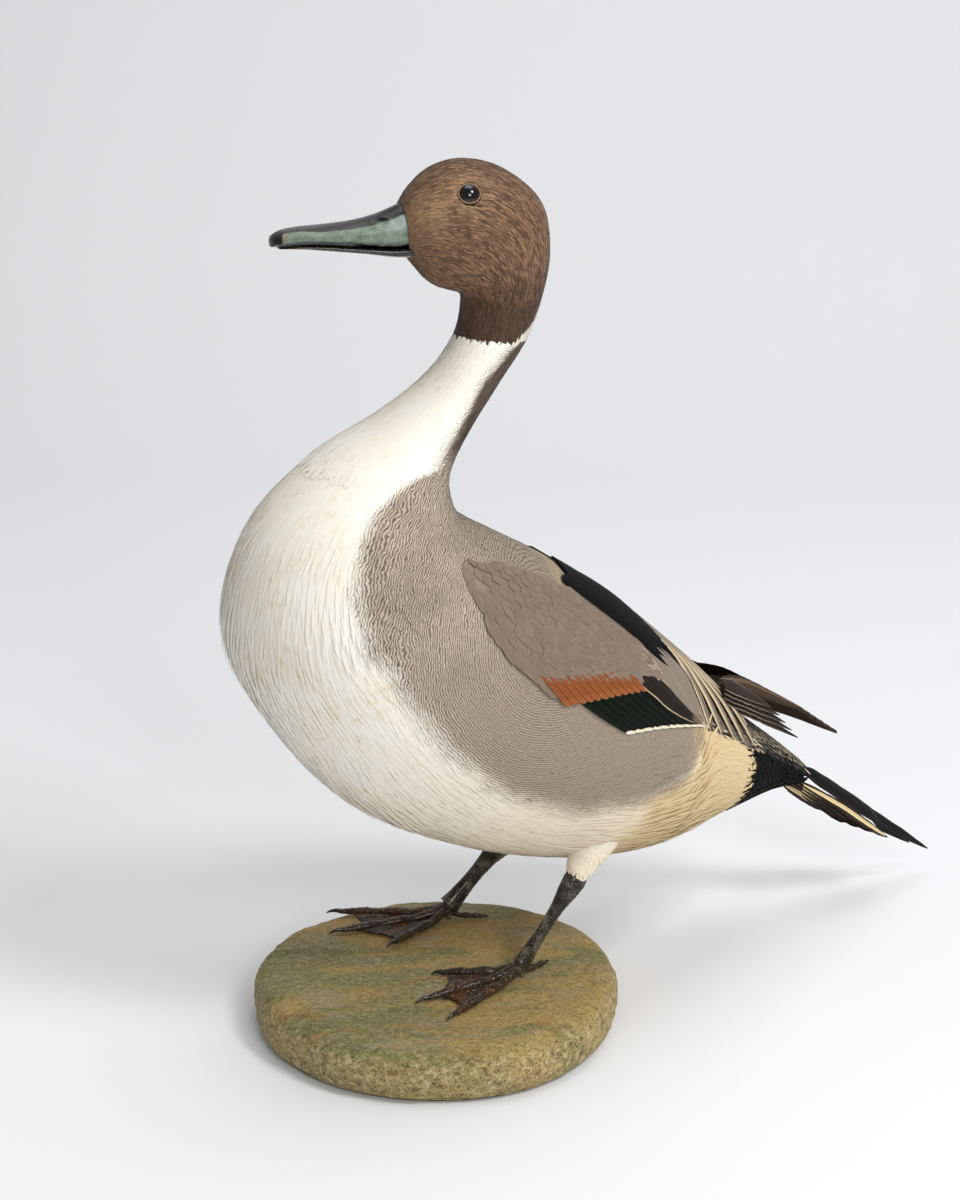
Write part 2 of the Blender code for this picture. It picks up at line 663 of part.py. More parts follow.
def build_body_hide(leg_holes, wing_holes):
    """Breast, mantle, sides, rump and undertail, each a feathered part of the hide."""
    lifts = (-HIDE, 0.0)
    gap = SEAM_TURN

    def breast_low(s):
        return read_edge(BREAST_EDGE, s) + gap

    def breast_high(s):
        return 360 - read_edge(BREAST_EDGE, s) - gap

    def mantle_left(s):
        return -read_edge(MANTLE_EDGE, s) + gap

    def mantle_right(s):
        return read_edge(MANTLE_EDGE, s) - gap

    breast = patch("breast_feathers", "white_feather", (2.1, NECK_ROOT), breast_low, breast_high,
                   lifts, 18, 13)
    cut(breast, *leg_holes)
    patch("mantle_feathers", "grey_feather", (3.05, NECK_ROOT), mantle_left, mantle_right,
          lifts, 13, 7)
    patch("rump_feathers", "grey_feather", (TAIL_BASE, 3.0), lambda s: -61.5, lambda s: 61.5,
          lifts, 6, 7)
    patch("undertail_feathers", "black_feather", (TAIL_BASE, 2.05), lambda s: 62.5,
          lambda s: 297.5, lifts, 5, 12)
    for side, sign in (("left", -1), ("right", 1)):
        flank = patch(side + "_flank_feathers", "grey_feather", (3.05, NECK_ROOT),
                      lambda s: sign * (read_edge(MANTLE_EDGE, s) + gap),
                      lambda s: sign * (read_edge(BREAST_EDGE, s) - gap), lifts, 16, 5)
        cut(flank, wing_holes[side])


# Wings ----------------------------------------------------------------------

LAYER = 0.5
COVERT_TOP = ((3.75, 46), (4.2, 38), (5.3, 36), (6.6, 38.5), (7.9, 50))
COVERT_LOW = ((3.75, 57), (4.1, 61), (4.7, 69), (5.3, 75), (6.4, 70), (7.0, 62), (7.9, 53))
BAND_LOW = ((4.1, 63.5), (4.7, 73), (5.3, 78.5))
GREEN_LOW = ((3.5, 71), (4.4, 80.5), (5.0, 79.5))
GREEN_TOP = ((3.5, 66.5), (4.1, 65), (4.7, 74), (5.0, 76.5))


def wing_lifts(level=0):
    """Bottom and top of a feather layer over the body."""
    bottom = LAYER + level * (FEATHER_LAYER + LAYER)
    return bottom, bottom + FEATHER_LAYER


def surface_blade(name, slot, route, half_widths, level, rows=10, thickness=1.0):
    """A long feather that lies on the layers below: route of (s, turn) places."""
    lift = wing_lifts(level)[0] + 0.6
    places = smooth_path([(s, t, lift + extra) for s, t, extra in route], rows)
    path = hide_point(places[:, 0], places[:, 1], places[:, 2])
    normal = hide_normal(places[:, 0], places[:, 1])
    return blade(name, slot, path, half_widths, normal, thickness, rows=rows)


def build_wing(side, sign):
    """The feather groups of one folded wing, and the wire that holds it."""
    gap = 0.7
    base = wing_lifts()
    patch(side + "_wing_coverts", "wing_grey", (3.8, 7.75),
          lambda s: sign * (read_edge(COVERT_TOP, s) + gap),
          lambda s: sign * (read_edge(COVERT_LOW, s) - gap), base, 9, 5)
    patch(side + "_greater_coverts", "rufous_feather", (4.12, 5.28),
          lambda s: sign * (read_edge(COVERT_LOW, s) + 0.2),
          lambda s: sign * read_edge(BAND_LOW, s), base, 6, 3)
    patch(side + "_secondaries", "green_feather", (3.52, 4.95),
          lambda s: sign * (read_edge(GREEN_TOP, s) + gap),
          lambda s: sign * read_edge(GREEN_LOW, s), base, 7, 4)
    patch(side + "_scapulars", "black_feather", (3.15, 5.0),
          lambda s: sign * 7.0, lambda s: sign * 34.5, base, 7, 4)
    tertials = (("upper", ((3.68, 40.0, 0), (3.1, 49, 0), (2.6, 62, 0.4)), (1.5, 3.6, 3.4, 1)),
                ("middle", ((3.7, 50.5, 0), (3.3, 57, 0), (2.9, 64, 0.2)), (2, 3.6, 3.0, 1)),
                ("lower", ((3.72, 61, 0), (3.4, 63.5, 0), (3.08, 69, 0)), (1.2, 2.4, 2.2, 0.8)))
    for label, route, widths in tertials:
        surface_blade(side + "_tertial_" + label, "striped_feather",
                      [(s, sign * t, e) for s, t, e in route], widths, 0)
    longs = (("upper", ((3.6, 12, 0), (2.95, 24, 0.3), (2.35, 47, 1.0)), (1.6, 3.4, 3.0, 0.8)),
             ("lower", ((3.6, 24, 0), (3.0, 36, 0.2), (2.45, 57, 0.8)), (1.6, 3.4, 3.0, 0.8)))
    for label, route, widths in longs:
        surface_blade(side + "_long_scapular_" + label, "striped_feather",
                      [(s, sign * t, e) for s, t, e in route], widths, 1, rows=12)


def build_primaries(side, sign):
    """The two stacks of flight feathers that stick out over the rump."""
    y = BIRD_SIDE
    normal = (0.45, sign * 0.55, 0.70)
    outer = ((124, y + sign * 15, 140.5), (150, y + sign * 11, 125.5),
             (178, y + sign * 8, 110.5), (214, y + sign * 5, 89.5))
    inner = ((124, y + sign * 25.5, 133.5), (146, y + sign * 21, 119),
             (164, y + sign * 17.5, 106.5), (182, y + sign * 14, 93.5))
    blade(side + "_outer_primaries", "flight_brown", outer, (4, 7.2, 6, 4.2, 1.8), normal, 1.8)
    blade(side + "_inner_primaries", "flight_brown", inner, (3.5, 5, 4, 1), normal, 1.6)


def wing_wire_path(sign):
    """Route of the wire that pins a wing: out of the form and through the hide."""
    inside = hide_point(np.array(5.6), np.array(sign * 60.0), np.array(-32.0))
    outside = hide_point(np.array(5.6), np.array(sign * 60.0), np.array(0.1))
    return [tuple(inside), tuple((inside + outside) / 2), tuple(outside)]


# Tail -----------------------------------------------------------------------

def build_tail():
    """Two short tail fans and the two long middle feathers."""
    y = BIRD_SIDE
    for side, sign in (("left", -1), ("right", 1)):
        fan = ((195.5, y + sign * 5.2, 66.0), (215, y + sign * 8.8, 53),
               (234, y + sign * 7.6, 38.6), (246, y + sign * 7, 29.5))
        blade(side + "_tail_fan", "striped_feather", fan, (1.2, 4.6, 3.6, 0.8),
              (0.42, sign * 0.62, 0.66), 1.1, rows=8)
        reach = 280 if sign > 0 else 264
        drop = 12.5 if sign > 0 else 21.0
        long = ((194, y + sign * 1.5, 73.2), (203, y + sign * 2.8, 69),
                (215, y + sign * 3.0, 60), (238, y + sign * 2.8, 42.5),
                (reach - 18, y + sign * 2.6, drop + 12.5), (reach, y + sign * 2.4, drop))
        blade(side + "_long_tail_feather", "black_feather", long, (0.9, 2.8, 3.4, 3.3, 2.6, 0.5),
              (0.36, sign * 0.80, 0.48), 0.9, rows=12)


def main():
    """Clears the scene and builds every piece."""
    for old in list(bpy.data.objects):
        bpy.data.objects.remove(old)
    hide_tool = cutter(loft("hide_room", hide_rings(1.0, 9.9, 20, 40, GAP)))
    leg_holes, nut_recesses = zip(*(build_leg(side, leg, hide_tool)
                                    for side, leg in LEGS.items()))
    build_base(leg_holes, nut_recesses)
    wing_holes = {}
    for side, sign in (("left", -1), ("right", 1)):
        path = wing_wire_path(sign)
        tube(side + "_wing_wire", path, WIRE_RADIUS, "steel_wire", sides=8, rows=4)
        start = np.array(path[0])
        end = np.array(path[-1])
        step = (end - start) / np.linalg.norm(end - start)
        wing_holes[side] = cutter(tube(side + "_wing_wire_hole",
                                       [tuple(start - step), tuple(end + step * 3)],
                                       WIRE_RADIUS + CLEARANCE, sides=8, rows=4))
    build_form(leg_holes, list(wing_holes.values()))
    build_head_and_neck(build_eyes())
    build_bill()
    build_body_hide(leg_holes, wing_holes)
    for side, sign in (("left", -1), ("right", 1)):
        build_wing(side, sign)
        build_primaries(side, sign)
    build_tail()


main()
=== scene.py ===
"""Finished look of a standing drake pintail, mounted on a round stone-finish base.

Lengths are in millimetres in the part's own frame and become metres when a mesh is made.
A place on the hide is (station, turn, lift): the station along the bird from the tail base
to the bill, the angle round the section from the back (0) to the belly (180, left side
negative), and the height off the hide.
"""
from __future__ import annotations

import logging
import math
from collections.abc import Callable, Sequence
from dataclasses import dataclass, field
from enum import Enum
from functools import cached_property

import bmesh
import bpy
import numpy as np
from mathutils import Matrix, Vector, noise
from mathutils.kdtree import KDTree


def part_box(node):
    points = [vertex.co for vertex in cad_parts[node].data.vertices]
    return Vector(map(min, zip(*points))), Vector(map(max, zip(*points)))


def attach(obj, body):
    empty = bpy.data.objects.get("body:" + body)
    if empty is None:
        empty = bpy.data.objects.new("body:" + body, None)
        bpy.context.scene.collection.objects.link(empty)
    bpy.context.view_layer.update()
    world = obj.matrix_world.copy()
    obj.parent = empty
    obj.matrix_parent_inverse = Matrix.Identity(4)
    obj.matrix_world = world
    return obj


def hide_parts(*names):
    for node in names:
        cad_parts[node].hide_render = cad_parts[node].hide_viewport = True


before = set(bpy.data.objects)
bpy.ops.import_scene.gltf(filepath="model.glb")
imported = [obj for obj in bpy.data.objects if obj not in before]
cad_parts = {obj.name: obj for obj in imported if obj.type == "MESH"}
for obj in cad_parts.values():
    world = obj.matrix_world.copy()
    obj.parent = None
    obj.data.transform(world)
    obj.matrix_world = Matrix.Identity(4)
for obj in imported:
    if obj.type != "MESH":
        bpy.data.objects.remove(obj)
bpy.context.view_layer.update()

LOG = logging.getLogger("pintail")
MM = 0.001
FAR_INSIDE = 50.0
SIDES = (("left", -1), ("right", 1))
Colour = tuple[float, float, float]
Edge = Sequence[tuple[float, float]]
Route = Sequence[tuple[float, float, float]]


def srgb(red: int, green: int, blue: int) -> Colour:
    """Linear colour from 0 to 255 display values."""
    return tuple(v / 12.92 if v <= 0.04045 else ((v + 0.055) / 1.055) ** 2.4
                 for v in (red / 255, green / 255, blue / 255))


def read_edge(edge: Edge, s: np.ndarray) -> np.ndarray:
    """Turn of an edge at each station, on straight lines between its points."""
    return np.interp(s, [p[0] for p in edge], [p[1] for p in edge])


def curve_at(rows: Sequence[Sequence[float]], t: np.ndarray) -> np.ndarray:
    """Values of a smooth curve through the given rows, at places t counted in rows."""
    p = np.array(rows, dtype=float)
    last = len(p) - 1
    i = np.minimum(t.astype(int), last - 1)
    f = (t - i)[..., None]
    leave = (p[i + 1] - p[np.maximum(i - 1, 0)]) / 2
    reach = (p[np.minimum(i + 2, last)] - p[i]) / 2
    return ((2 * f**3 - 3 * f**2 + 1) * p[i] + (f**3 - 2 * f**2 + f) * leave
            + (3 * f**2 - 2 * f**3) * p[i + 1] + (f**3 - f**2) * reach)


def smooth_path(points: Sequence[Sequence[float]], count: int) -> np.ndarray:
    """A smooth curve of count points through the given points."""
    return curve_at(points, np.linspace(0, len(points) - 1, count))


def unit(vectors: np.ndarray) -> np.ndarray:
    """The vectors at length one."""
    return vectors / np.maximum(np.linalg.norm(vectors, axis=-1, keepdims=True), 1e-9)


def sides_of(path: np.ndarray, up: np.ndarray | Sequence[float]) -> tuple[np.ndarray, ...]:
    """Sideways and upward unit directions at each point of a path whose top looks up."""
    forward = unit(np.gradient(path, axis=0))
    side = unit(np.cross(np.broadcast_to(np.asarray(up, float), path.shape), forward))
    return side, np.cross(forward, side)


def rings_along(path: np.ndarray, side: np.ndarray, top: np.ndarray, across: np.ndarray,
                height: np.ndarray) -> np.ndarray:
    """Rings of points about a path, at steps across it and up from it."""
    return (path[:, None, :] + side[:, None, :] * across[..., None]
            + top[:, None, :] * height[..., None])


def level(turn: float) -> Callable[[np.ndarray], np.ndarray]:
    """An edge at the same turn for every station."""
    return lambda s: 0 * s + turn


def keep(mesh: bpy.types.Mesh, name: str, values: np.ndarray, triple: bool = True) -> None:
    """Keeps a triple, or one number, for each point of a mesh as a named attribute."""
    layer = mesh.attributes.new(name, "FLOAT_VECTOR" if triple else "FLOAT", "POINT")
    layer.data.foreach_set(
        "vector" if triple else "value", np.asarray(values, np.float32).ravel())


class Slot(Enum):
    """The record's material slots."""

    HOOD = "hood_brown"
    WHITE = "white_feather"
    GREY = "grey_feather"
    WING = "wing_grey"
    RUFOUS = "rufous_feather"
    GREEN = "green_feather"
    BLACK = "black_feather"
    STRIPED = "striped_feather"
    FLIGHT = "flight_brown"
    HORN = "bill_horn"
    BILL_BLACK = "bill_black"
    GLASS = "eye_glass"
    LEG = "leg_skin"
    STONE = "stone_paint"
    TURNED = "turned_wood"
    FELT = "felt"
    WOOL = "wood_wool"
    TOW = "wrapped_tow"
    CARVED = "carved_wood"
    WIRE = "steel_wire"


# The hide

@dataclass(frozen=True)
class Hide:
    """The smooth surface that the plumage lies on, lofted through the bird's stations."""

    middle: float = 9.0
    pivot: float = 30.0
    head_turn: float = 13.0
    hood_edge: float = 13.05
    neck_root: float = 10.05
    tail_base: float = 0.25
    thickness: float = 2.8
    # Back x, back z, belly x, belly z, half width, head turn.
    stations: tuple[tuple[float, ...], ...] = (
        (198, 75, 191, 66, 8, 0), (178, 92, 171, 68, 18, 0), (147, 117, 138, 66, 36, 0),
        (113, 149, 96, 59, 52, 0), (82, 178, 54, 63, 59, 0), (54, 198, 8, 78, 62, 0),
        (32, 211, -36, 103, 63, 0), (18, 219, -67, 139, 61, 0), (9, 226, -85, 178, 55, 0),
        (6, 235, -76, 218, 43, 0), (8, 244, -49, 247, 31, 0), (17, 257, -15, 265, 22, 0),
        (31, 273, 5, 279, 16.5, 0), (45, 290, 16, 293, 15, 2), (52, 307, 19, 306, 16, 5),
        (55, 326, 17, 310, 17.5, 9), (51, 345, 12, 311.5, 19, 13), (36, 358, 7, 313.5, 19, 13),
        (20, 362.5, 3, 316.5, 17.5, 13), (7, 360, 0, 320, 15.5, 13),
        (-2, 353, -2.5, 323, 12.5, 13), (-6.5, 346.5, -4.5, 326, 10, 13))

    @property
    def last(self) -> int:
        """The station at the bill."""
        return len(self.stations) - 1

    def values(self, s: np.ndarray) -> np.ndarray:
        """Station numbers read from a smooth curve through the stations."""
        return curve_at(self.stations, np.clip(s, 0.0, self.last))

    def turned(self, x: np.ndarray, side: np.ndarray, z: np.ndarray,
               turn: np.ndarray | float) -> np.ndarray:
        """Points of the straight bird after its head has turned.

        Args:
            x: Places along the bird.
            side: Places across it, from its middle plane.
            z: Heights.
            turn: How far the head has turned there, in degrees.

        Returns:
            The points in the part's frame.
        """
        yaw = -np.radians(turn)
        reach = x - self.pivot
        return np.stack([self.pivot + reach * np.cos(yaw) - side * np.sin(yaw),
                         self.middle + reach * np.sin(yaw) + side * np.cos(yaw), z], axis=-1)

    def surface(self, s: np.ndarray, turn: np.ndarray) -> np.ndarray:
        """Points on the hide."""
        s, turn = np.broadcast_arrays(np.asarray(s, float), np.asarray(turn, float))
        v = self.values(s)
        c = np.cos(np.radians(turn))
        x = (v[..., 0] + v[..., 2]) / 2 + (v[..., 0] - v[..., 2]) / 2 * c
        z = (v[..., 1] + v[..., 3]) / 2 + (v[..., 1] - v[..., 3]) / 2 * c
        return self.turned(x, np.sin(np.radians(turn)) * v[..., 4], z, v[..., 5])

    def normal(self, s: np.ndarray, turn: np.ndarray) -> np.ndarray:
        """Outward unit normals of the hide."""
        s = np.asarray(s, float)
        turn = np.asarray(turn, float)
        along = self.surface(s + 0.02, turn) - self.surface(s - 0.02, turn)
        around = self.surface(s, turn + 1) - self.surface(s, turn - 1)
        return unit(np.cross(around, along))

    def point(self, s: np.ndarray, turn: np.ndarray, lift: np.ndarray | float) -> np.ndarray:
        """Points lifted off the hide along its outward normal."""
        lift = np.broadcast_to(np.asarray(lift, float), np.shape(np.asarray(s, float)))
        return self.surface(s, turn) + self.normal(s, turn) * lift[..., None]

    def sheet(self, stations: tuple[float, float], low: Callable, high: Callable, lift: float,
              size: tuple[int, int], wrap: bool = False) -> Sheet:
        """A sheet over part of the hide.

        Args:
            stations: First and last station.
            low: Turn of the sheet's one edge, as a function of the station.
            high: Turn of its other edge.
            lift: Height off the hide.
            size: Rows along the bird and columns round it.
            wrap: True where the sheet runs right round.

        Returns:
            The sheet, whose rows run from the bill end towards the tail.
        """
        rows, columns = size
        s = np.linspace(max(stations), min(stations), rows)[:, None]
        share = np.linspace(0, 1, columns, endpoint=not wrap)[None, :]
        turn = low(s) + (high(s) - low(s)) * share
        s = np.broadcast_to(s, turn.shape)
        return Sheet(self.point(s, turn, lift), np.stack([s, turn], axis=-1), wrap)


HIDE = Hide()


@dataclass
class Sheet:
    """A grid of points with the place of each on the hide."""

    points: np.ndarray
    place: np.ndarray
    wrap: bool = False

    def opened(self) -> Sheet:
        """The sheet with its seam as two edges, so that its turns run on across it."""
        if not self.wrap:
            return self
        close = self.place[:, :1] + (0.0, 360.0)
        return Sheet(np.concatenate([self.points, self.points[:, :1]], axis=1),
                     np.concatenate([self.place, close], axis=1))

    def steps(self, values: np.ndarray) -> tuple[np.ndarray, np.ndarray]:
        """Differences of values along the rows and along the columns, for each point."""
        down = np.gradient(values, axis=0)
        if self.wrap:
            across = (np.roll(values, -1, axis=1) - np.roll(values, 1, axis=1)) / 2
        else:
            across = np.gradient(values, axis=1)
        return down, across

    def faces(self, start: int = 0, flip: bool = False) -> list[tuple[int, ...]]:
        """Quads of the grid, numbered from start."""
        rows, columns = self.points.shape[:2]
        found = []
        for r in range(rows - 1):
            for c in range(columns if self.wrap else columns - 1):
                n = (c + 1) % columns
                quad = (start + r * columns + c, start + r * columns + n,
                        start + (r + 1) * columns + n, start + (r + 1) * columns + c)
                found.append(quad[::-1] if flip else quad)
        return found


# Meshes

@dataclass
class Solid:
    """Points and faces in millimetres, with two triples of numbers for each point.

    place is the station, the turn and the distance inside an edge of the plumage. vane is
    the place across a feather from -1 to 1, the place along it from root to tip, and a
    number of its own from 0 to 1.
    """

    points: np.ndarray
    faces: list[tuple[int, ...]]
    place: np.ndarray
    vane: np.ndarray

    @staticmethod
    def joined(solids: Sequence[Solid]) -> Solid:
        """All the solids as one."""
        faces: list[tuple[int, ...]] = []
        start = 0
        for solid in solids:
            faces.extend(tuple(start + k for k in face) for face in solid.faces)
            start += len(solid.points)
        return Solid(
            np.concatenate([s.points for s in solids]), faces,
            np.concatenate([s.place for s in solids]), np.concatenate([s.vane for s in solids]))

    @staticmethod
    def read(mesh: bpy.types.Mesh) -> Solid:
        """The solid that a mesh in metres holds."""
        values = {}
        for name in ("position", "place", "vane"):
            flat = np.zeros(len(mesh.vertices) * 3)
            mesh.attributes[name].data.foreach_get("vector", flat)
            values[name] = flat.reshape(-1, 3)
        return Solid(values["position"] / MM, [tuple(p.vertices) for p in mesh.polygons],
                     values["place"], values["vane"])

    def object(self, name: str, finish: Finish, sharp: float = 60.0,
               tidy: bool = True) -> bpy.types.Object:
        """A Blender object of this solid.

        Args:
            name: The object's name.
            finish: Its finish.
            sharp: Angle in degrees above which an edge is sharp.
            tidy: False where the faces already point outwards.

        Returns:
            The object, at the origin with its place in its mesh.
        """
        mesh = bpy.data.meshes.new(name)
        mesh.from_pydata(self.points * MM, [], self.faces)
        keep(mesh, "place", self.place)
        keep(mesh, "vane", self.vane)
        if tidy:
            work = bmesh.new()
            work.from_mesh(mesh)
            bmesh.ops.recalc_face_normals(work, faces=work.faces)
            work.to_mesh(mesh)
            work.free()
        mesh.shade_smooth()
        mesh.set_sharp_from_angle(angle=math.radians(sharp))
        mesh.materials.append(finish.material())
        piece = bpy.data.objects.new(name, mesh)
        bpy.context.scene.collection.objects.link(piece)
        return piece


def install(piece: bpy.types.Object, slot: Slot, *nodes: str) -> None:
    """Makes a piece part of the model, in place of the named nodes."""
    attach(piece, "root")
    if nodes:
        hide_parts(*nodes)
    LOG.info("%s: %d faces for %s", piece.name, len(piece.data.polygons), ", ".join(nodes))


def loft(rings: np.ndarray, place: np.ndarray | None = None, vane: np.ndarray | None = None,
         caps: bool = True) -> Solid:
    """A closed solid through rings of points.

    Args:
        rings: Points in an array of rings, points of a ring, and x, y, z.
        place: The place triples of the same points.
        vane: The vane triples of the same points.
        caps: False where the last ring joins the first.

    Returns:
        The solid.
    """
    count, size = rings.shape[:2]
    faces: list[tuple[int, ...]] = []
    for r in range(count - 1 if caps else count):
        for k in range(size):
            n = (k + 1) % size
            below = (r + 1) % count * size
            faces.append((r * size + k, r * size + n, below + n, below + k))
    if caps:
        faces.append(tuple(range(size - 1, -1, -1)))
        faces.append(tuple((count - 1) * size + k for k in range(size)))
    flat = rings.reshape(-1, 3)
    if vane is None:
        turns = np.linspace(-1, 1, size, endpoint=False)
        rows = np.linspace(0, 1, count)
        vane = np.stack(np.broadcast_arrays(turns[None, :], rows[:, None], 0.5), axis=-1)
    place = np.zeros_like(flat) if place is None else place.reshape(-1, 3)
    return Solid(flat, faces, place, vane.reshape(-1, 3))


def plate(outer: Sheet, inner: Sheet) -> Solid:
    """A closed plate between two sheets of the same size."""
    rows, columns = outer.points.shape[:2]
    size = rows * columns
    faces = outer.faces() + inner.faces(size, flip=True)
    if outer.wrap:
        for r, flip in ((0, False), (rows - 1, True)):
            for c in range(columns):
                a = r * columns + c
                b = r * columns + (c + 1) % columns
                quad = (a, size + a, size + b, b)
                faces.append(quad[::-1] if flip else quad)
    else:
        rim = list(range(columns))
        rim += [r * columns + columns - 1 for r in range(1, rows)]
        rim += [(rows - 1) * columns + c for c in range(columns - 2, -1, -1)]
        rim += [r * columns for r in range(rows - 2, 0, -1)]
        for k, a in enumerate(rim):
            b = rim[(k + 1) % len(rim)]
            faces.append((a, size + a, size + b, b))
    points = np.concatenate([outer.points.reshape(-1, 3), inner.points.reshape(-1, 3)])
    place = np.zeros((len(points), 3))
    place[:, :2] = np.concatenate([outer.place.reshape(-1, 2)] * 2)
    vane = np.tile((0.0, 0.5, 0.5), (len(points), 1))
    return Solid(points, faces, place, vane)


def feather(path: np.ndarray, half_widths: Sequence[float], normals: np.ndarray,
            thickness: float = 0.35, camber: float = 0.0, ragged: float = 0.0,
            chance: float = 0.5, columns: int = 7) -> Solid:
    """One long feather: a thin blade with a shaft along its middle.

    Args:
        path: Points of the shaft, from root to tip.
        half_widths: Half widths at even steps along it.
        normals: The direction that its upper face looks in, for each point or for all.
        thickness: Thickness at the shaft.
        camber: How far the edges drop below the shaft.
        ragged: How far the edges are uneven, as a share of the width.
        chance: The feather's own number from 0 to 1.
        columns: Points across its upper face.

    Returns:
        The feather, closed and thin at its edges.
    """
    rows = len(path)
    share = np.linspace(0, 1, rows)
    widths = np.interp(share, np.linspace(0, 1, len(half_widths)), half_widths)
    side, up = sides_of(path, normals)
    across = np.linspace(-1, 1, columns)
    ring = np.concatenate([across, across[-2:0:-1]])
    top = np.concatenate([np.ones(columns), -np.ones(columns - 2)])
    height = np.where(top > 0, 0.5, -0.5) * (1 - np.abs(ring)) ** 0.7 * thickness
    height = height + np.where((top > 0) & (np.abs(ring) < 0.05), 0.25 * thickness, 0)
    rough = 1 + ragged * np.array(
        [noise.noise(Vector((chance * 37 + 9 * side_sign, f * 22, 0))) for side_sign in (-1,
        1) for f in share]).reshape(2, rows)
    spread = np.where(ring[None, :] < 0, rough[0][:, None], rough[1][:, None])
    sideways = ring[None, :] * spread * widths[:, None]
    drop = height[None, :] - camber * ring[None, :] ** 2 * (widths / max(widths))[:, None]
    rings = rings_along(path, side, up, sideways, drop)
    vane = np.stack(np.broadcast_arrays(ring[None, :], share[:, None], chance), axis=-1)
    return loft(rings, vane=vane)


def hide_feather(route: Route, half_widths: Sequence[float],
                 rows: int = 14, **shape: float) -> Solid:
    """A long feather that lies along a route of (station, turn, lift) places on the hide."""
    places = smooth_path(route, rows)
    path = HIDE.point(places[:, 0], places[:, 1], places[:, 2])
    return feather(path, half_widths, HIDE.normal(places[:, 0], places[:, 1]), **shape)


# Node trees

def maths(operation: str, swapped: bool = False) -> Callable[..., Link]:
    """A method of a link that adds a Math node.

    Args:
        operation: The node's operation.
        swapped: True where the other value comes before the link's own.

    Returns:
        The method.
    """
    def method(self: Link, *others: Link | float) -> Link:
        """Adds the node on this link and the others."""
        values = (*others, self) if swapped else (self, *others)
        return self.graph.math(operation, *values)

    return method


class Link:
    """One output of a node, which adds Math nodes when it is used in a sum."""

    def __init__(self, graph: Graph, socket: bpy.types.NodeSocket) -> None:
        """Wraps a socket of a graph."""
        self.graph = graph
        self.socket = socket

    def out(self, name: str) -> Link:
        """Another output of the same node."""
        return Link(self.graph, self.socket.node.outputs[name])

    __add__ = maths("ADD")
    __radd__ = maths("ADD", swapped=True)
    __sub__ = maths("SUBTRACT")
    __rsub__ = maths("SUBTRACT", swapped=True)
    __mul__ = maths("MULTIPLY")
    __rmul__ = maths("MULTIPLY", swapped=True)
    __truediv__ = maths("DIVIDE")
    __rtruediv__ = maths("DIVIDE", swapped=True)
    __abs__ = maths("ABSOLUTE")
    sine = maths("SINE")
    most = maths("MAXIMUM")

    def ramp(self, low: float, high: float) -> Link:
        """A soft step from 0 where the value is low to 1 where it is high."""
        flip = low > high
        step = self.graph.node(
            "ShaderNodeMapRange", {"interpolation_type": "SMOOTHSTEP"},
            {"Value": self, "From Min": min(low, high), "From Max": max(low, high)})
        return 1 - step if flip else step


class Graph:
    """A node tree that is written as expressions."""

    def __init__(self, tree: bpy.types.NodeTree) -> None:
        """Wraps a tree."""
        self.tree = tree

    def node(self, kind: str, settings: dict | None = None, inputs: dict | None = None,
             out: int | str = 0) -> Link:
        """Adds a node.

        Args:
            kind: The node's type.
            settings: Properties of the node, which are set first.
            inputs: A value or a link for each named or numbered input.
            out: The output to return.

        Returns:
            The chosen output.
        """
        node = self.tree.nodes.new(kind)
        for name, value in (settings or {}).items():
            setattr(node, name, value)
        for key, value in (inputs or {}).items():
            if isinstance(value, Link):
                self.tree.links.new(value.socket, node.inputs[key])
            else:
                node.inputs[key].default_value = value
        return Link(self, node.outputs[out])

    def math(self, operation: str, *values: Link | float) -> Link:
        """A Math node on one or more values."""
        return self.node("ShaderNodeMath", {"operation": operation}, dict(enumerate(values)))

    def vector(self, operation: str, *values: Link | tuple) -> Link:
        """A Vector Math node."""
        return self.node(
            "ShaderNodeVectorMath", {"operation": operation}, dict(enumerate(values)))

    def scaled(self, vector: Link, factor: Link | float) -> Link:
        """A vector times a number."""
        return self.node(
            "ShaderNodeVectorMath", {"operation": "SCALE"}, {0: vector, "Scale": factor})

    def parts(self, vector: Link) -> tuple[Link, Link, Link]:
        """The three numbers of a vector."""
        split = self.node("ShaderNodeSeparateXYZ", None, {0: vector})
        return split, split.out("Y"), split.out("Z")

    def made(self, x: Link | float, y: Link | float, z: Link | float) -> Link:
        """A vector of three numbers."""
        return self.node("ShaderNodeCombineXYZ", None, {0: x, 1: y, 2: z})


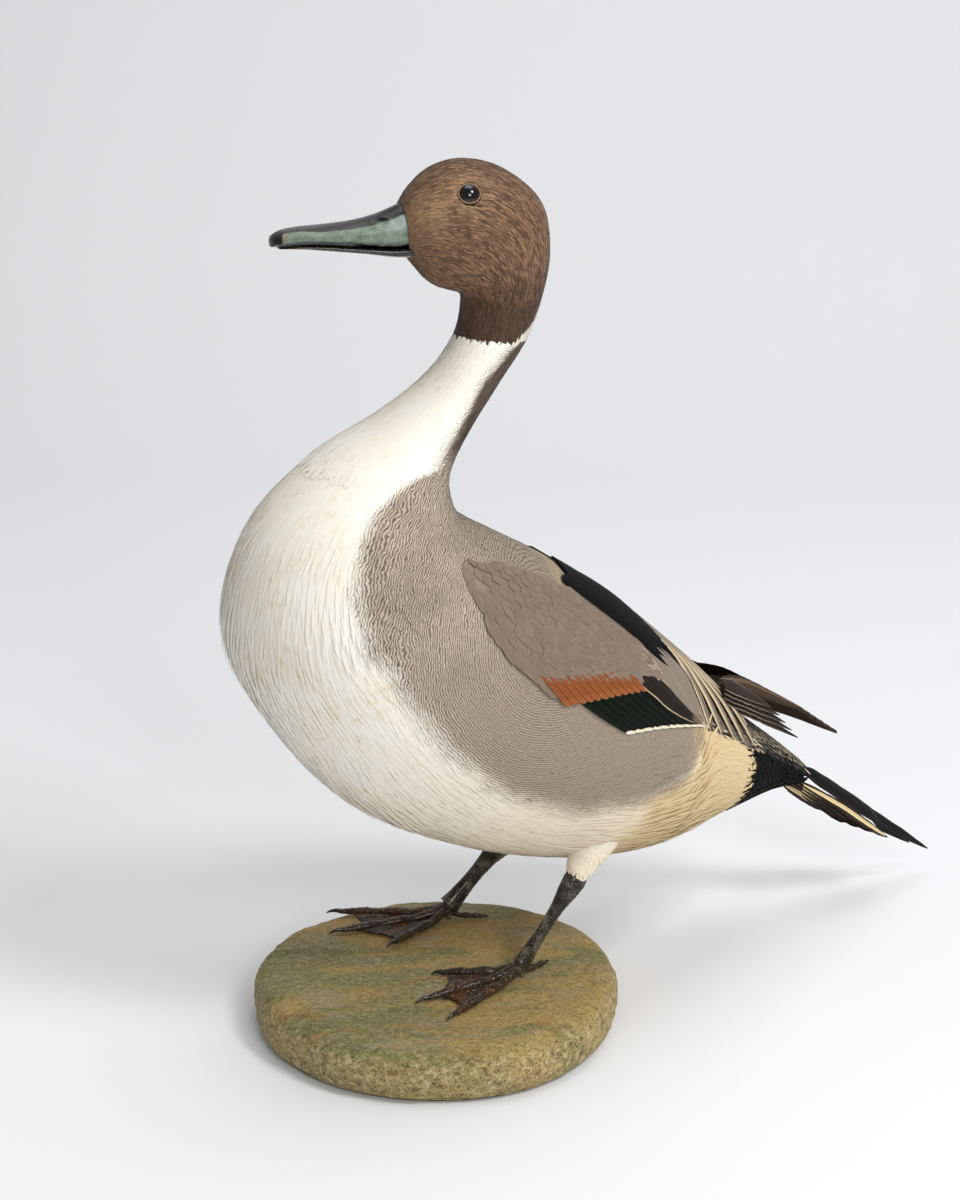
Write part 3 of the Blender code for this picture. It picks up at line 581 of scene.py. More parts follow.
class Paint(Graph):
    """The node tree of a material."""

    def __init__(self, name: str) -> None:
        """Starts an empty material."""
        self.result = bpy.data.materials.new(name)
        self.result.use_nodes = True
        self.result.node_tree.nodes.clear()
        super().__init__(self.result.node_tree)
        coordinates = self.node("ShaderNodeTexCoord", out="Object")
        self.point = self.scaled(coordinates, 1 / MM)

    def attribute(self, name: str) -> tuple[Link, Link, Link]:
        """The three numbers of a mesh attribute."""
        return self.parts(
            self.node("ShaderNodeAttribute", {"attribute_name": name}, out="Vector"))

    def mix(self, factor: Link | float, first: Link | Colour, second: Link | Colour,
            blend: str = "MIX") -> Link:
        """A colour between two colours."""
        pair = [c if isinstance(c, Link) else (*c, 1.0) for c in (first, second)]
        return self.node("ShaderNodeMix", {"data_type": "RGBA", "blend_type": blend},
                         {0: factor, 6: pair[0], 7: pair[1]}, out=2)

    def stretched(self, x: float, y: float, z: float) -> Link:
        """The point in millimetres, stretched along its axes."""
        return self.vector("MULTIPLY", self.point, (x, y, z))

    def noise(self, scale: float, detail: float = 2.0, at: Link | None = None,
              distortion: float = 0.0) -> Link:
        """Soft noise, with scale in features for each millimetre."""
        return self.node(
            "ShaderNodeTexNoise", None,
            {"Vector": at or self.point, "Scale": scale, "Detail": detail,
            "Distortion": distortion})

    def shade(self, base: Link | Colour, rough: Link | float, height: Link | None = None,
              relief: float = 0.1, **fixed: float | Link | tuple) -> bpy.types.Material:
        """Ends the tree in a Principled shader.

        Args:
            base: Base colour.
            rough: Roughness.
            height: Height of the fine relief, from 0 to 1.
            relief: What a height of 1 stands for, in millimetres.
            fixed: Values of other sockets, with _ for a space in their names.

        Returns:
            The material.
        """
        inputs: dict[str, object] = {"Roughness": rough}
        inputs["Base Color"] = base if isinstance(base, Link) else (*base, 1.0)
        if height is not None:
            inputs["Normal"] = self.node(
                "ShaderNodeBump", None, {"Strength": 1.0, "Distance": relief * MM,
                "Height": height})
        inputs.update({name.replace("_", " "): value for name, value in fixed.items()})
        shader = self.node("ShaderNodeBsdfPrincipled", None, inputs)
        output = self.tree.nodes.new("ShaderNodeOutputMaterial")
        self.tree.links.new(shader.socket, output.inputs["Surface"])
        return self.result


# Finishes

@dataclass(frozen=True)
class Finish:
    """A named finish, whose material is made once."""

    name: str

    def material(self) -> bpy.types.Material:
        """The finish's material."""
        found = bpy.data.materials.get(self.name)
        return found or self.paint(Paint(self.name))

    def paint(self, p: Paint) -> bpy.types.Material:
        """Builds the material."""
        raise NotImplementedError


@dataclass(frozen=True)
class Hood(Finish):
    """Brown head plumage, paler round the eye and before it, darker below and on the crown."""

    brown: Colour = srgb(134, 102, 76)
    dark: Colour = srgb(76, 55, 40)
    low: Colour = srgb(46, 32, 24)
    tan: Colour = srgb(184, 150, 112)
    white: Colour = srgb(235, 228, 212)
    nape: Colour = srgb(66, 53, 45)
    eye: tuple[float, float, float] = (0.0, 0.0, 0.0)
    lores: tuple[float, float, float] = (0.0, 0.0, 0.0)

    def paint(self, p: Paint) -> bpy.types.Material:
        """Builds the material."""
        station, turn, inside = p.attribute("place")
        across, along, chance = p.attribute("vane")
        streak = p.noise(1.0, 3, at=p.made(station * 3.0, turn * 0.8, chance * 0.3))
        grain = chance * 0.25 + streak * 0.75
        colour = p.mix(grain.ramp(0.3, 0.62), self.dark, self.brown)
        colour = p.mix(grain.ramp(0.55, 0.8) * 0.3, colour, self.tan)
        patch = p.noise(0.12, 2)
        near = p.vector("DISTANCE", p.point, self.eye).out("Value")
        before = p.vector("DISTANCE", p.point, self.lores).out("Value")
        pale = (near + patch * 8).ramp(17, 8).most((before + patch * 12).ramp(19, 9) * 0.8)
        colour = p.mix(pale * 0.42 * grain.ramp(0.1, 0.6), colour, self.tan)
        crown = abs(turn).ramp(62, 22) * station.ramp(16.2, 17.4)
        low = (station + patch * 1.6).ramp(16.2, 14.2)
        colour = p.mix(crown * p.noise(0.5, 2).ramp(0.4, 0.65) * 0.45, colour, self.dark)
        colour = p.mix(low * 0.7, colour, self.low)
        colour = p.mix((inside + (streak - 0.5) * 3).ramp(0.5, -0.5), colour, self.white)
        nape = (abs(turn) + (station - 13.5) * 9.3 + (streak - 0.5) * 14).ramp(35, 29)
        colour = p.mix(nape, colour, self.nape)
        colour = p.mix((along.ramp(0.6, 1.0) * 0.18), colour, self.tan)
        height = p.noise(3.0, 2) * 0.5 + chance * 0.5
        return p.shade(colour, 0.72, height, 0.12, Specular_IOR_Level=0.25, Sheen_Weight=0.08)


@dataclass(frozen=True)
class BodyPlumage(Finish):
    """White below and grey above, where fine wavy dark lines run round the shoulder."""

    white: Colour = srgb(244, 241, 233)
    cream: Colour = srgb(236, 222, 194)
    vent: Colour = srgb(216, 193, 150)
    stain: Colour = srgb(212, 180, 132)
    light: Colour = srgb(186, 171, 153)
    dark: Colour = srgb(92, 81, 71)
    grey: Colour = srgb(140, 126, 111)
    buff: Colour = srgb(206, 184, 142)
    nape: Colour = srgb(72, 59, 50)
    pitch: float = 1.02
    centre: tuple[float, float, float] = (28.0, 0.0, 180.0)

    def lines(self, p: Paint, rear: Link) -> Link:
        """The dark lines, from 0 to 1.

        Args:
            p: The material's tree.
            rear: 1 on the flank and 0 on the shoulder.

        Returns:
            How dark each place is.
        """
        flat = p.vector("MULTIPLY", p.point, (1.0, 0.0, 1.0))
        distance = p.vector("DISTANCE", flat, self.centre).out("Value")
        calm = 1 - rear * 0.72
        bend = (p.noise(0.04, 1) - 0.5) * 9 * calm
        wave = (p.noise(0.26, 1) - 0.5) * 2.6 * calm
        ripple = (p.noise(0.7, 1) - 0.5) * 0.9
        phase = (distance + bend + wave + ripple) / self.pitch
        line = (phase * (2 * math.pi)).sine() * 0.5 + 0.5
        broken = p.noise(0.5, 2).ramp(0.25, 0.55)
        return line.ramp(0.30, 0.75) * (broken * 0.4 + 0.6)

    def paint(self, p: Paint) -> bpy.types.Material:
        """Builds the material."""
        station, turn, inside = p.attribute("place")
        _, _, chance = p.attribute("vane")
        cloud = p.noise(0.035, 3)
        fine = p.noise(0.25, 3)
        strand = p.noise(1.0, 2, at=p.made(station * 2.5, turn * 0.9, chance * 0.2))
        pale = p.mix((cloud * 0.5 + strand * 0.6).ramp(0.38, 0.75) * 0.5, self.white, self.cream)
        pale = p.mix((station + cloud * 1.6).ramp(8.0, 4.6) * 0.85, pale, self.cream)
        pale = p.mix((station + cloud * 0.8 - abs(turn) * 0.004).ramp(3.5, 2.9), pale, self.vent)
        spots = fine.ramp(0.54, 0.72) * cloud.ramp(0.36, 0.6)
        pale = p.mix(spots * 0.32, pale, self.stain)
        rear = station.ramp(7.6, 5.4)
        lines = self.lines(p, rear)
        tone = p.mix((rear * 0.55).most(cloud.ramp(0.42, 0.7) * 0.5), self.light, self.grey)
        tone = p.mix(abs(turn).ramp(60, 30) * 0.5, tone, self.grey)
        black_edge = (station + (cloud - 0.5) * 0.3).ramp(5.35, 5.15) * abs(turn).ramp(37, 33)
        tone = p.mix(black_edge * 0.4, tone, self.buff)
        rim = station.ramp(3.32, 3.1) * abs(turn).ramp(60, 66)
        tone = p.mix(rim * 0.6, tone, self.buff)
        grey = p.mix(lines * (0.86 - rear * 0.22), tone, self.dark)
        edge = inside + (p.noise(0.05, 3) - 0.5) * 12 + (strand - 0.5) * 5
        greyed = (edge + lines * 3.0).ramp(-6.0, 6.0)
        colour = p.mix(greyed, pale, grey)
        neck = (station + (strand - 0.5) * 0.5).ramp(10.1, 10.7)
        dusky = p.mix(strand.ramp(0.4, 0.7) * 0.5, self.nape, self.grey)
        colour = p.mix(neck * (inside + (strand - 0.5) * 8).ramp(-1.5, 2.0), colour, dusky)
        height = strand * 0.7 + lines * greyed * 0.3
        return p.shade(colour, 0.8, height, 0.07, Specular_IOR_Level=0.2)


@dataclass(frozen=True)
class Vane(Finish):
    """A feather coloured by the place on its vane: stripe, web, edge, band and tip."""

    web: Colour = srgb(150, 138, 128)
    edge: Colour = srgb(150, 138, 128)
    stripe: Colour = srgb(150, 138, 128)
    shaft: Colour = srgb(120, 108, 96)
    band: Colour = srgb(20, 18, 18)
    tip: Colour = srgb(20, 18, 18)
    stripe_to: float = 0.0
    edge_from: float = 1.2
    band_from: float = 2.0
    tip_from: float = 2.0
    shaft_width: float = 0.05
    contrast: float = 0.25
    rough: float = 0.6
    shift: float = 0.0

    def paint(self, p: Paint) -> bpy.types.Material:
        """Builds the material."""
        across, along, chance = p.attribute("vane")
        slope = abs(across) * 0.5
        barb = p.noise(1.0, 2, at=p.made((along - slope * 0.3) * 60, across * 1.5, chance * 30))
        drift = (p.noise(0.8, 2, at=p.made(along * 9, across * 2, chance * 30)) - 0.5) * 0.16
        tone = p.mix((barb - 0.5) * (2 * self.contrast) + 0.5, srgb(96, 96, 96),
                     srgb(158, 158, 158))
        colour = p.mix((chance * 0.5 + barb * 0.5) * self.contrast, self.web, self.band)
        if self.stripe_to:
            middle = abs(across + self.shift + drift)
            colour = p.mix(middle.ramp(self.stripe_to + 0.06, self.stripe_to - 0.06), colour,
                           self.stripe)
        if self.edge_from < 1:
            colour = p.mix(
                (abs(across) + drift).ramp(self.edge_from - 0.05, self.edge_from + 0.05), colour,
                self.edge)
        if self.shaft_width:
            colour = p.mix(abs(across).ramp(self.shaft_width, self.shaft_width * 0.4) * 0.8,
                           colour, self.shaft)
        end = along + drift * 0.5 - abs(across) * 0.03
        if self.band_from < 1:
            colour = p.mix(end.ramp(self.band_from - 0.04, self.band_from + 0.04), colour,
                           self.band)
        if self.tip_from < 1:
            colour = p.mix(end.ramp(self.tip_from - 0.015, self.tip_from + 0.015), colour,
                           self.tip)
        colour = p.mix(0.5, colour, tone, "OVERLAY")
        height = barb * 0.7 + abs(across).ramp(0.08, 0.0)
        return p.shade(colour, self.rough, height, 0.07, Specular_IOR_Level=0.12)


@dataclass(frozen=True)
class Coverts(Finish):
    """Plain grey-brown wing coverts with thin pale shafts and soft pale edges."""

    web: Colour = srgb(128, 112, 97)
    dark: Colour = srgb(108, 93, 80)
    pale: Colour = srgb(154, 138, 122)
    cream: Colour = srgb(226, 210, 180)

    def paint(self, p: Paint) -> bpy.types.Material:
        """Builds the material."""
        station, turn, _ = p.attribute("place")
        across, along, chance = p.attribute("vane")
        barb = p.noise(1.0, 2, at=p.made(along * 14 - abs(across) * 4, across * 1.2, chance * 30))
        cloud = p.noise(0.07, 2)
        streak = p.noise(1.0, 3, at=p.made(station * 3.2, turn * 0.45, 0.0))
        colour = p.mix((barb * 0.3 + chance * 0.2 + streak * 0.6).ramp(0.35, 0.85), self.web,
                       self.dark)
        colour = p.mix(streak.ramp(0.55, 0.75) * 0.4, colour, self.pale)
        colour = p.mix(abs(across).ramp(0.10, 0.02) * along.ramp(0.15, 0.5) * 0.4, colour,
                       self.pale)
        rim = (abs(across) * 0.55 + along * 0.6).ramp(0.82, 1.0)
        colour = p.mix(rim * 0.14, colour, self.pale)
        colour = p.mix(rim * station.ramp(4.15, 3.8), colour, self.cream)
        return p.shade(colour, 0.68, barb, 0.08, Specular_IOR_Level=0.3, Sheen_Weight=0.05)


@dataclass(frozen=True)
class Rump(Finish):
    """Rump and uppertail feathers: grey vermiculated, then streaked cream, brown and black."""

    grey: Colour = srgb(140, 130, 118)
    dark: Colour = srgb(40, 34, 30)
    cream: Colour = srgb(224, 208, 170)

    def paint(self, p: Paint) -> bpy.types.Material:
        """Builds the material."""
        station, turn, _ = p.attribute("place")
        across, along, chance = p.attribute("vane")
        line = (p.vector("DOT_PRODUCT", p.point, (0.85, 0.0, -0.5)).out("Value")
                * (2 * math.pi / 1.3) + p.noise(0.4, 1) * 9).sine() * 0.5 + 0.5
        base = p.mix(line.ramp(0.3, 0.75) * 0.7, self.grey, self.dark)
        middle = abs(across).ramp(0.5, 0.3)
        streak = p.mix(middle, self.cream, self.dark)
        pick = (chance + station.ramp(2.2, 0.9)).ramp(0.75, 0.95)
        colour = p.mix(pick, base, streak)
        side = abs(turn).ramp(40, 52) * station.ramp(1.9, 1.5)
        colour = p.mix(side * 0.92, colour, srgb(16, 15, 17))
        strand = p.noise(1.0, 2, at=p.made(across * 5, along * 0.7, chance * 40))
        return p.shade(colour, 0.7, strand, 0.1, Specular_IOR_Level=0.3)


@dataclass(frozen=True)
class Black(Finish):
    """Velvety black plumage with a faint blue sheen."""

    black: Colour = srgb(10, 10, 12)
    brown: Colour = srgb(26, 23, 22)
    cream: Colour = srgb(226, 204, 158)

    def paint(self, p: Paint) -> bpy.types.Material:
        """Builds the material."""
        _, _, inside = p.attribute("place")
        across, along, chance = p.attribute("vane")
        barb = p.noise(1.0, 2, at=p.made(along * 12 - abs(across) * 5, across * 2, chance * 30))
        colour = p.mix((barb * 0.5 + chance * 0.5).ramp(0.35, 0.9) * 0.6, self.black, self.brown)
        colour = p.mix(inside.ramp(0.5, -0.5), colour, self.cream)
        rough = barb * 0.2 + 0.65
        return p.shade(colour, rough, barb, 0.1, Specular_IOR_Level=0.08)


@dataclass(frozen=True)
class Horn(Finish):
    """Varnished bill: black ridge and nail, sage green sides, a painted reflection at the base.
    """

    green: Colour = srgb(116, 130, 116)
    olive: Colour = srgb(92, 108, 92)
    # Pale flecks, and the painted reflection high on the bill by the feathers.
    pale: Colour = srgb(160, 172, 170)
    black: Colour = srgb(9, 9, 10)
    orange: Colour = srgb(190, 150, 96)

    def paint(self, p: Paint) -> bpy.types.Material:
        """Builds the material."""
        x, height, side = p.attribute("place")
        cloud = p.noise(0.35, 3)
        speck = p.noise(1.6, 2)
        colour = p.mix(cloud.ramp(0.35, 0.65), self.olive, self.green)
        colour = p.mix(speck.ramp(0.58, 0.7) * 0.5, colour, self.pale)
        # Painted reflection: a pale patch high on the bill near its base, by the feathers.
        front = (x + cloud * 5).ramp(-12.5, -8.0)
        colour = p.mix(front * height.ramp(0.3, 0.6) * 0.4, colour, self.pale)
        ridge = (height + (cloud - 0.5) * 0.10 + x.ramp(-44, -10) * -0.06
                 + x.ramp(-38, -50) * -0.16).ramp(0.70, 0.76)
        tomium = (height + (cloud - 0.5) * 0.14).ramp(0.13, 0.07)
        nail = (x + abs(side) * 0.35 + (cloud - 0.5) * 2).ramp(-51.8, -52.8)
        border = (x + abs(side) * 0.35 + (cloud - 0.5) * 2).ramp(-49.8, -51.4)
        colour = p.mix(border * 0.3, colour, self.orange)
        colour = p.mix(ridge.most(tomium).most(nail), colour, self.black)
        rough = cloud * 0.3 + speck * 0.12 + 0.12
        return p.shade(colour, rough, speck * 0.6 + cloud * 0.4, 0.3, Coat_Weight=0.15,
                       Coat_Roughness=0.15, Specular_IOR_Level=0.3)


@dataclass(frozen=True)
class Glass(Finish):
    """Eye: a black pupil in a dark brown iris, under clear glass."""

    iris: Colour = srgb(14, 9, 7)
    pupil: Colour = srgb(5, 4, 4)

    def paint(self, p: Paint) -> bpy.types.Material:
        """Builds the material."""
        distance, _, _ = p.attribute("place")
        fleck = p.noise(1.5, 2)
        colour = p.mix(distance.ramp(2.1, 2.5), self.pupil, self.iris)
        colour = p.mix(fleck.ramp(0.5, 0.8) * distance.ramp(2.2, 3.0) * 0.5, colour,
                       srgb(52, 32, 20))
        return p.shade(colour, 0.04, Coat_Weight=0.3, Coat_Roughness=0.02,
                       Specular_IOR_Level=0.35)


@dataclass(frozen=True)
class LegSkin(Finish):
    """Dried scaly skin, dark grey-black with brown webs, a satin varnish and painted highlights.
    """

    black: Colour = srgb(22, 19, 16)
    # Paler skin, and painted highlights, mostly on the shank.
    grey: Colour = srgb(120, 112, 96)
    brown: Colour = srgb(84, 56, 32)
    # Painted glints on the raised scales of the toes and webs.
    copper_glint: Colour = srgb(158, 118, 76)
    scale: float = 0.8

    def paint(self, p: Paint) -> bpy.types.Material:
        """Builds the material."""
        kind, _, _ = p.attribute("place")
        cells = p.node("ShaderNodeTexVoronoi", {"feature": "DISTANCE_TO_EDGE"},
                       {"Vector": p.point, "Scale": self.scale})
        plate_height = cells.ramp(0.02, 0.22)
        cloud = p.noise(0.18, 3)
        shank = kind.ramp(0.15, 0.05)
        # Grey patches: partly paler skin, partly painted highlights, strongest on the shank.
        colour = p.mix((cloud * 0.9 + plate_height * 0.1).ramp(0.42, 0.70)
                       * (shank * 0.65 + 0.2), self.black, self.grey)
        colour = p.mix(cloud.ramp(0.56, 0.40) * (kind.ramp(0.05, 0.4) * 0.75 + 0.1), colour,
                       self.brown)
        # Painted highlights: copper glints on the raised scales of the toes and webs.
        glint = p.noise(0.7, 3).ramp(0.54, 0.62) * kind.ramp(0.1, 0.3)
        colour = p.mix(glint * plate_height * 0.8, colour, self.copper_glint)
        rough = 0.46 - plate_height * 0.2 + cloud * 0.15
        return p.shade(colour, rough, plate_height, 0.35, Coat_Weight=0.3,
                       Coat_Roughness=0.1, Specular_IOR_Level=0.2)


@dataclass(frozen=True)
class Claw(Finish):
    """Polished black horn."""

    def paint(self, p: Paint) -> bpy.types.Material:
        """Builds the material."""
        streak = p.noise(0.9, 2)
        colour = p.mix(streak.ramp(0.4, 0.7), srgb(12, 11, 11), srgb(46, 38, 32))
        return p.shade(colour, streak * 0.2 + 0.18, streak, 0.08, Coat_Weight=0.4,
                       Coat_Roughness=0.15)


@dataclass(frozen=True)
class Stone(Finish):
    """Moulded plaster painted as mossy ochre stone, with a paler cracked rim."""

    ochre: Colour = srgb(156, 132, 78)
    olive: Colour = srgb(120, 116, 76)
    grey: Colour = srgb(140, 132, 108)
    rust: Colour = srgb(160, 112, 56)
    buff: Colour = srgb(172, 150, 102)
    moss: Colour = srgb(84, 96, 54)
    pale: Colour = srgb(196, 180, 136)
    dark: Colour = srgb(62, 56, 38)
    brush: float = math.radians(-30)

    def paint(self, p: Paint) -> bpy.types.Material:
        """Builds the material."""
        x, y, z = p.parts(p.point)
        run = x * math.cos(self.brush) + y * math.sin(self.brush)
        over = y * math.cos(self.brush) - x * math.sin(self.brush)
        stroke = p.made(run * 0.6, over * 1.5, z * 1.2)
        broad = p.noise(0.026, 5, at=stroke, distortion=0.5)
        cloud = p.noise(0.06, 5, at=p.vector("ADD", stroke, (31.0, 7.0, 0.0)))
        green = p.noise(0.05, 5, at=p.vector("ADD", stroke, (-61.0, 43.0, 9.0)))
        stain = p.noise(0.06, 4, at=p.vector("ADD", stroke, (15.0, -80.0, 3.0)))
        fine = p.noise(0.42, 6, at=p.vector("MULTIPLY", stroke, (1.3, 0.8, 1.0)))
        grit = p.noise(1.3, 5)
        colour = p.mix(broad.ramp(0.40, 0.58), self.olive, self.ochre)
        colour = p.mix(cloud.ramp(0.50, 0.64) * 0.55, colour, self.grey)
        colour = p.mix(green.ramp(0.52, 0.64) * 0.6, colour, self.moss)
        colour = p.mix(stain.ramp(0.55, 0.70) * 0.42, colour, self.rust)
        rim = z.ramp(21.0, 16.0)
        colour = p.mix(rim * 0.5, colour, self.buff)
        colour = p.mix(fine.ramp(0.50, 0.64) * (rim * 0.35 + 0.25), colour, self.pale)
        colour = p.mix(fine.ramp(0.46, 0.34) * (rim * 0.25 + 0.3), colour, self.dark)
        colour = p.mix(grit.ramp(0.54, 0.68) * 0.45, colour, self.pale)
        speck = grit.ramp(0.45, 0.33) * (rim * 0.3 + 0.4)
        colour = p.mix(speck, colour, self.dark)
        height = fine * 0.6 + grit * 0.4 - speck * 0.3
        return p.shade(colour, fine * 0.25 + 0.62, height, 0.7, Specular_IOR_Level=0.3)


@dataclass(frozen=True)
class Grain(Finish):
    """A plain workshop material: wood, felt, wound tow, wood wool or wire."""

    light: Colour = srgb(190, 160, 120)
    dark: Colour = srgb(140, 108, 72)
    stretch: tuple[float, float, float] = (0.2, 0.2, 0.2)
    scale: float = 1.0
    relief: float = 0.2
    rough: float = 0.8
    metal: float = 0.0

    def paint(self, p: Paint) -> bpy.types.Material:
        """Builds the material."""
        strand = p.noise(self.scale, 4, at=p.stretched(*self.stretch), distortion=0.4)
        cloud = p.noise(0.06, 2)
        colour = p.mix((strand * 0.75 + cloud * 0.25).ramp(0.35, 0.65), self.dark, self.light)
        return p.shade(colour, strand * 0.15 + self.rough - 0.08, strand, self.relief,
                       Metallic=self.metal)


@dataclass(frozen=True)
class Backdrop(Finish):
    """Plain pale studio floor."""

    def paint(self, p: Paint) -> bpy.types.Material:
        """Builds the material."""
        return p.shade(srgb(232, 233, 236), 0.9)


# Feather coat

class Leaf(Enum):
    """Outline of a small feather: half widths at shares of its length."""

    BROAD = ((0.0, 0.26), (0.3, 0.46), (0.62, 0.5), (0.87, 0.34))
    ROUND = ((0.0, 0.3), (0.3, 0.47), (0.7, 0.5), (0.93, 0.33))
    HAIR = ((0.0, 0.3), (0.45, 0.5), (0.82, 0.28))


@dataclass(frozen=True)
class CoatSize:
    """Sizes of a coat of small feathers, in millimetres."""

    spacing: float
    length: float
    width: float
    root_lift: float = -0.5
    tip_lift: float = 0.55
    camber: float = 0.25
    thickness: float = 0.14
    leaf: Leaf = Leaf.BROAD


class FeatherCoat:
    """Geometry nodes that lay small feathers like shingles over a sheet of hide."""

    FLOATS = ("Spacing", "Length", "Width", "Thickness", "Root Lift", "Tip Lift", "Camber")

    def __init__(self) -> None:
        """Builds the tree once."""
        self.tree = bpy.data.node_groups.new("feather_coat", "GeometryNodeTree")
        face = self.tree.interface
        face.new_socket("Geometry", in_out="INPUT", socket_type="NodeSocketGeometry")
        face.new_socket("Leaf", in_out="INPUT", socket_type="NodeSocketObject")
        face.new_socket("Seed", in_out="INPUT", socket_type="NodeSocketInt")
        face.new_socket("Finish", in_out="INPUT", socket_type="NodeSocketMaterial")
        for name in self.FLOATS:
            face.new_socket(name, in_out="INPUT", socket_type="NodeSocketFloat")
        face.new_socket("Geometry", in_out="OUTPUT", socket_type="NodeSocketGeometry")
        self.graph = Graph(self.tree)
        self.entry = self.tree.nodes.new("NodeGroupInput")
        self.build()

    def given(self, name: str) -> Link:
        """One of the tree's inputs."""
        return Link(self.graph, self.entry.outputs[name])

    def stored(self, name: str, kind: str = "FLOAT_VECTOR") -> Link:
        """A named attribute of the geometry."""
        return self.graph.node(
            "GeometryNodeInputNamedAttribute", {"data_type": kind}, {"Name": name})

    def store(self, geometry: Link, name: str, value: Link, kind: str = "FLOAT_VECTOR") -> Link:
        """The geometry with a value kept in a named attribute."""
        return self.graph.node(
            "GeometryNodeStoreNamedAttribute", {"data_type": kind, "domain": "POINT"},
            {"Geometry": geometry, "Name": name, "Value": value})

    def chance(self, low: float, high: float, seed: int) -> Link:
        """A number for each point, between low and high."""
        return self.graph.node("FunctionNodeRandomValue", {"data_type": "FLOAT"},
                               {2: low, 3: high, "Seed": seed}, out=1)

    def build(self) -> None:
        """Scatters roots, turns a leaf along the plumage at each, and bends it to the hide."""
        g = self.graph
        spacing = self.given("Spacing")
        scatter = g.node(
            "GeometryNodeDistributePointsOnFaces", {"distribute_method": "POISSON"},
            {"Mesh": self.given("Geometry"), "Distance Min": spacing,
            "Density Max": 6 / (spacing * spacing),
            "Density Factor": self.stored("cover", "FLOAT"), "Seed": self.given("Seed")})
        points = self.store(scatter, "up", scatter.out("Normal"))
        points = self.store(points, "chance", self.chance(0, 1, 11), "FLOAT")
        points = self.store(
            points, "size", self.stored("growth", "FLOAT") * self.chance(0.85, 1.15, 12), "FLOAT")
        sway = g.node("FunctionNodeRandomValue", {"data_type": "FLOAT_VECTOR"},
                      {0: (-0.13, -0.13, -0.13), 1: (0.13, 0.13, 0.13), "Seed": 13})
        heading = g.node(
            "FunctionNodeAxesToRotation", {"primary_axis": "Z", "secondary_axis": "Y"},
            {0: self.stored("up"), 1: g.vector("ADD", self.stored("flow"), sway)})
        size = self.stored("size", "FLOAT")
        leaf = g.node("GeometryNodeObjectInfo", None, {0: self.given("Leaf")}, out="Geometry")
        scale = g.made(self.given("Width") * size, self.given("Length") * size,
                       self.given("Thickness"))
        coat = g.node("GeometryNodeInstanceOnPoints", None,
                      {"Points": points, "Instance": leaf, "Rotation": heading, "Scale": scale})
        coat = g.node("GeometryNodeRealizeInstances", None, {"Geometry": coat})
        across, along, _ = g.parts(self.stored("leaf"))
        rise = (self.given("Tip Lift") - self.given("Root Lift")) * along
        lift = self.given("Root Lift") + rise - self.given("Camber") * across * across * 4
        coat = g.node("GeometryNodeSetPosition", None,
                      {"Geometry": coat, "Offset": g.scaled(self.stored("up"), lift)})
        station, turn, inside = g.parts(self.stored("place"))
        station_step, turn_step, _ = g.parts(self.stored("rate"))
        station = station - along * self.given("Length") * size / station_step
        turn = turn - across * self.given("Width") * size / turn_step
        coat = self.store(coat, "place", g.made(station, turn, inside))
        coat = self.store(coat, "vane", g.made(across * 2, along, self.stored("chance", "FLOAT")))
        coat = g.node("GeometryNodeSetMaterial", None,
                      {"Geometry": coat, "Material": self.given("Finish")})
        output = self.tree.nodes.new("NodeGroupOutput")
        self.tree.links.new(coat.socket, output.inputs[0])

    @staticmethod
    def leaf(outline: Leaf) -> bpy.types.Object:
        """One small feather of length and width one, closed and with a raised shaft."""
        points = []
        faces: list[tuple[int, ...]] = []
        rows = len(outline.value)
        for along, half in outline.value:
            points += [(-half, along, 0.0), (0.0, along, 1.0), (half, along, 0.0)]
        points.append((0.0, 1.0, 0.0))
        for r in range(rows - 1):
            a = 3 * r
            faces += [(a, a + 1, a + 4, a + 3), (a + 1, a + 2, a + 5, a + 4),
                      (a + 3, a + 5, a + 2, a)]
        a = 3 * (rows - 1)
        faces += [(a, a + 1, a + 3), (a + 1, a + 2, a + 3), (a + 3, a + 2, a), (0, 2, 1)]
        mesh = bpy.data.meshes.new("leaf")
        mesh.from_pydata(points, [], [face[::-1] for face in faces])
        mesh.shade_smooth()
        keep(mesh, "leaf", [(x, y, 0.0) for x, y, _ in points])
        return bpy.data.objects.new("leaf", mesh)

    @staticmethod
    def spread(value: np.ndarray | float, shape: tuple[int, int]) -> np.ndarray:
        """A value at each point of an opened sheet."""
        value = np.asarray(value, float)
        if value.ndim == 2 and value.shape[1] == shape[1] - 1:
            value = np.concatenate([value, value[:, :1]], axis=1)
        return np.broadcast_to(value, shape)

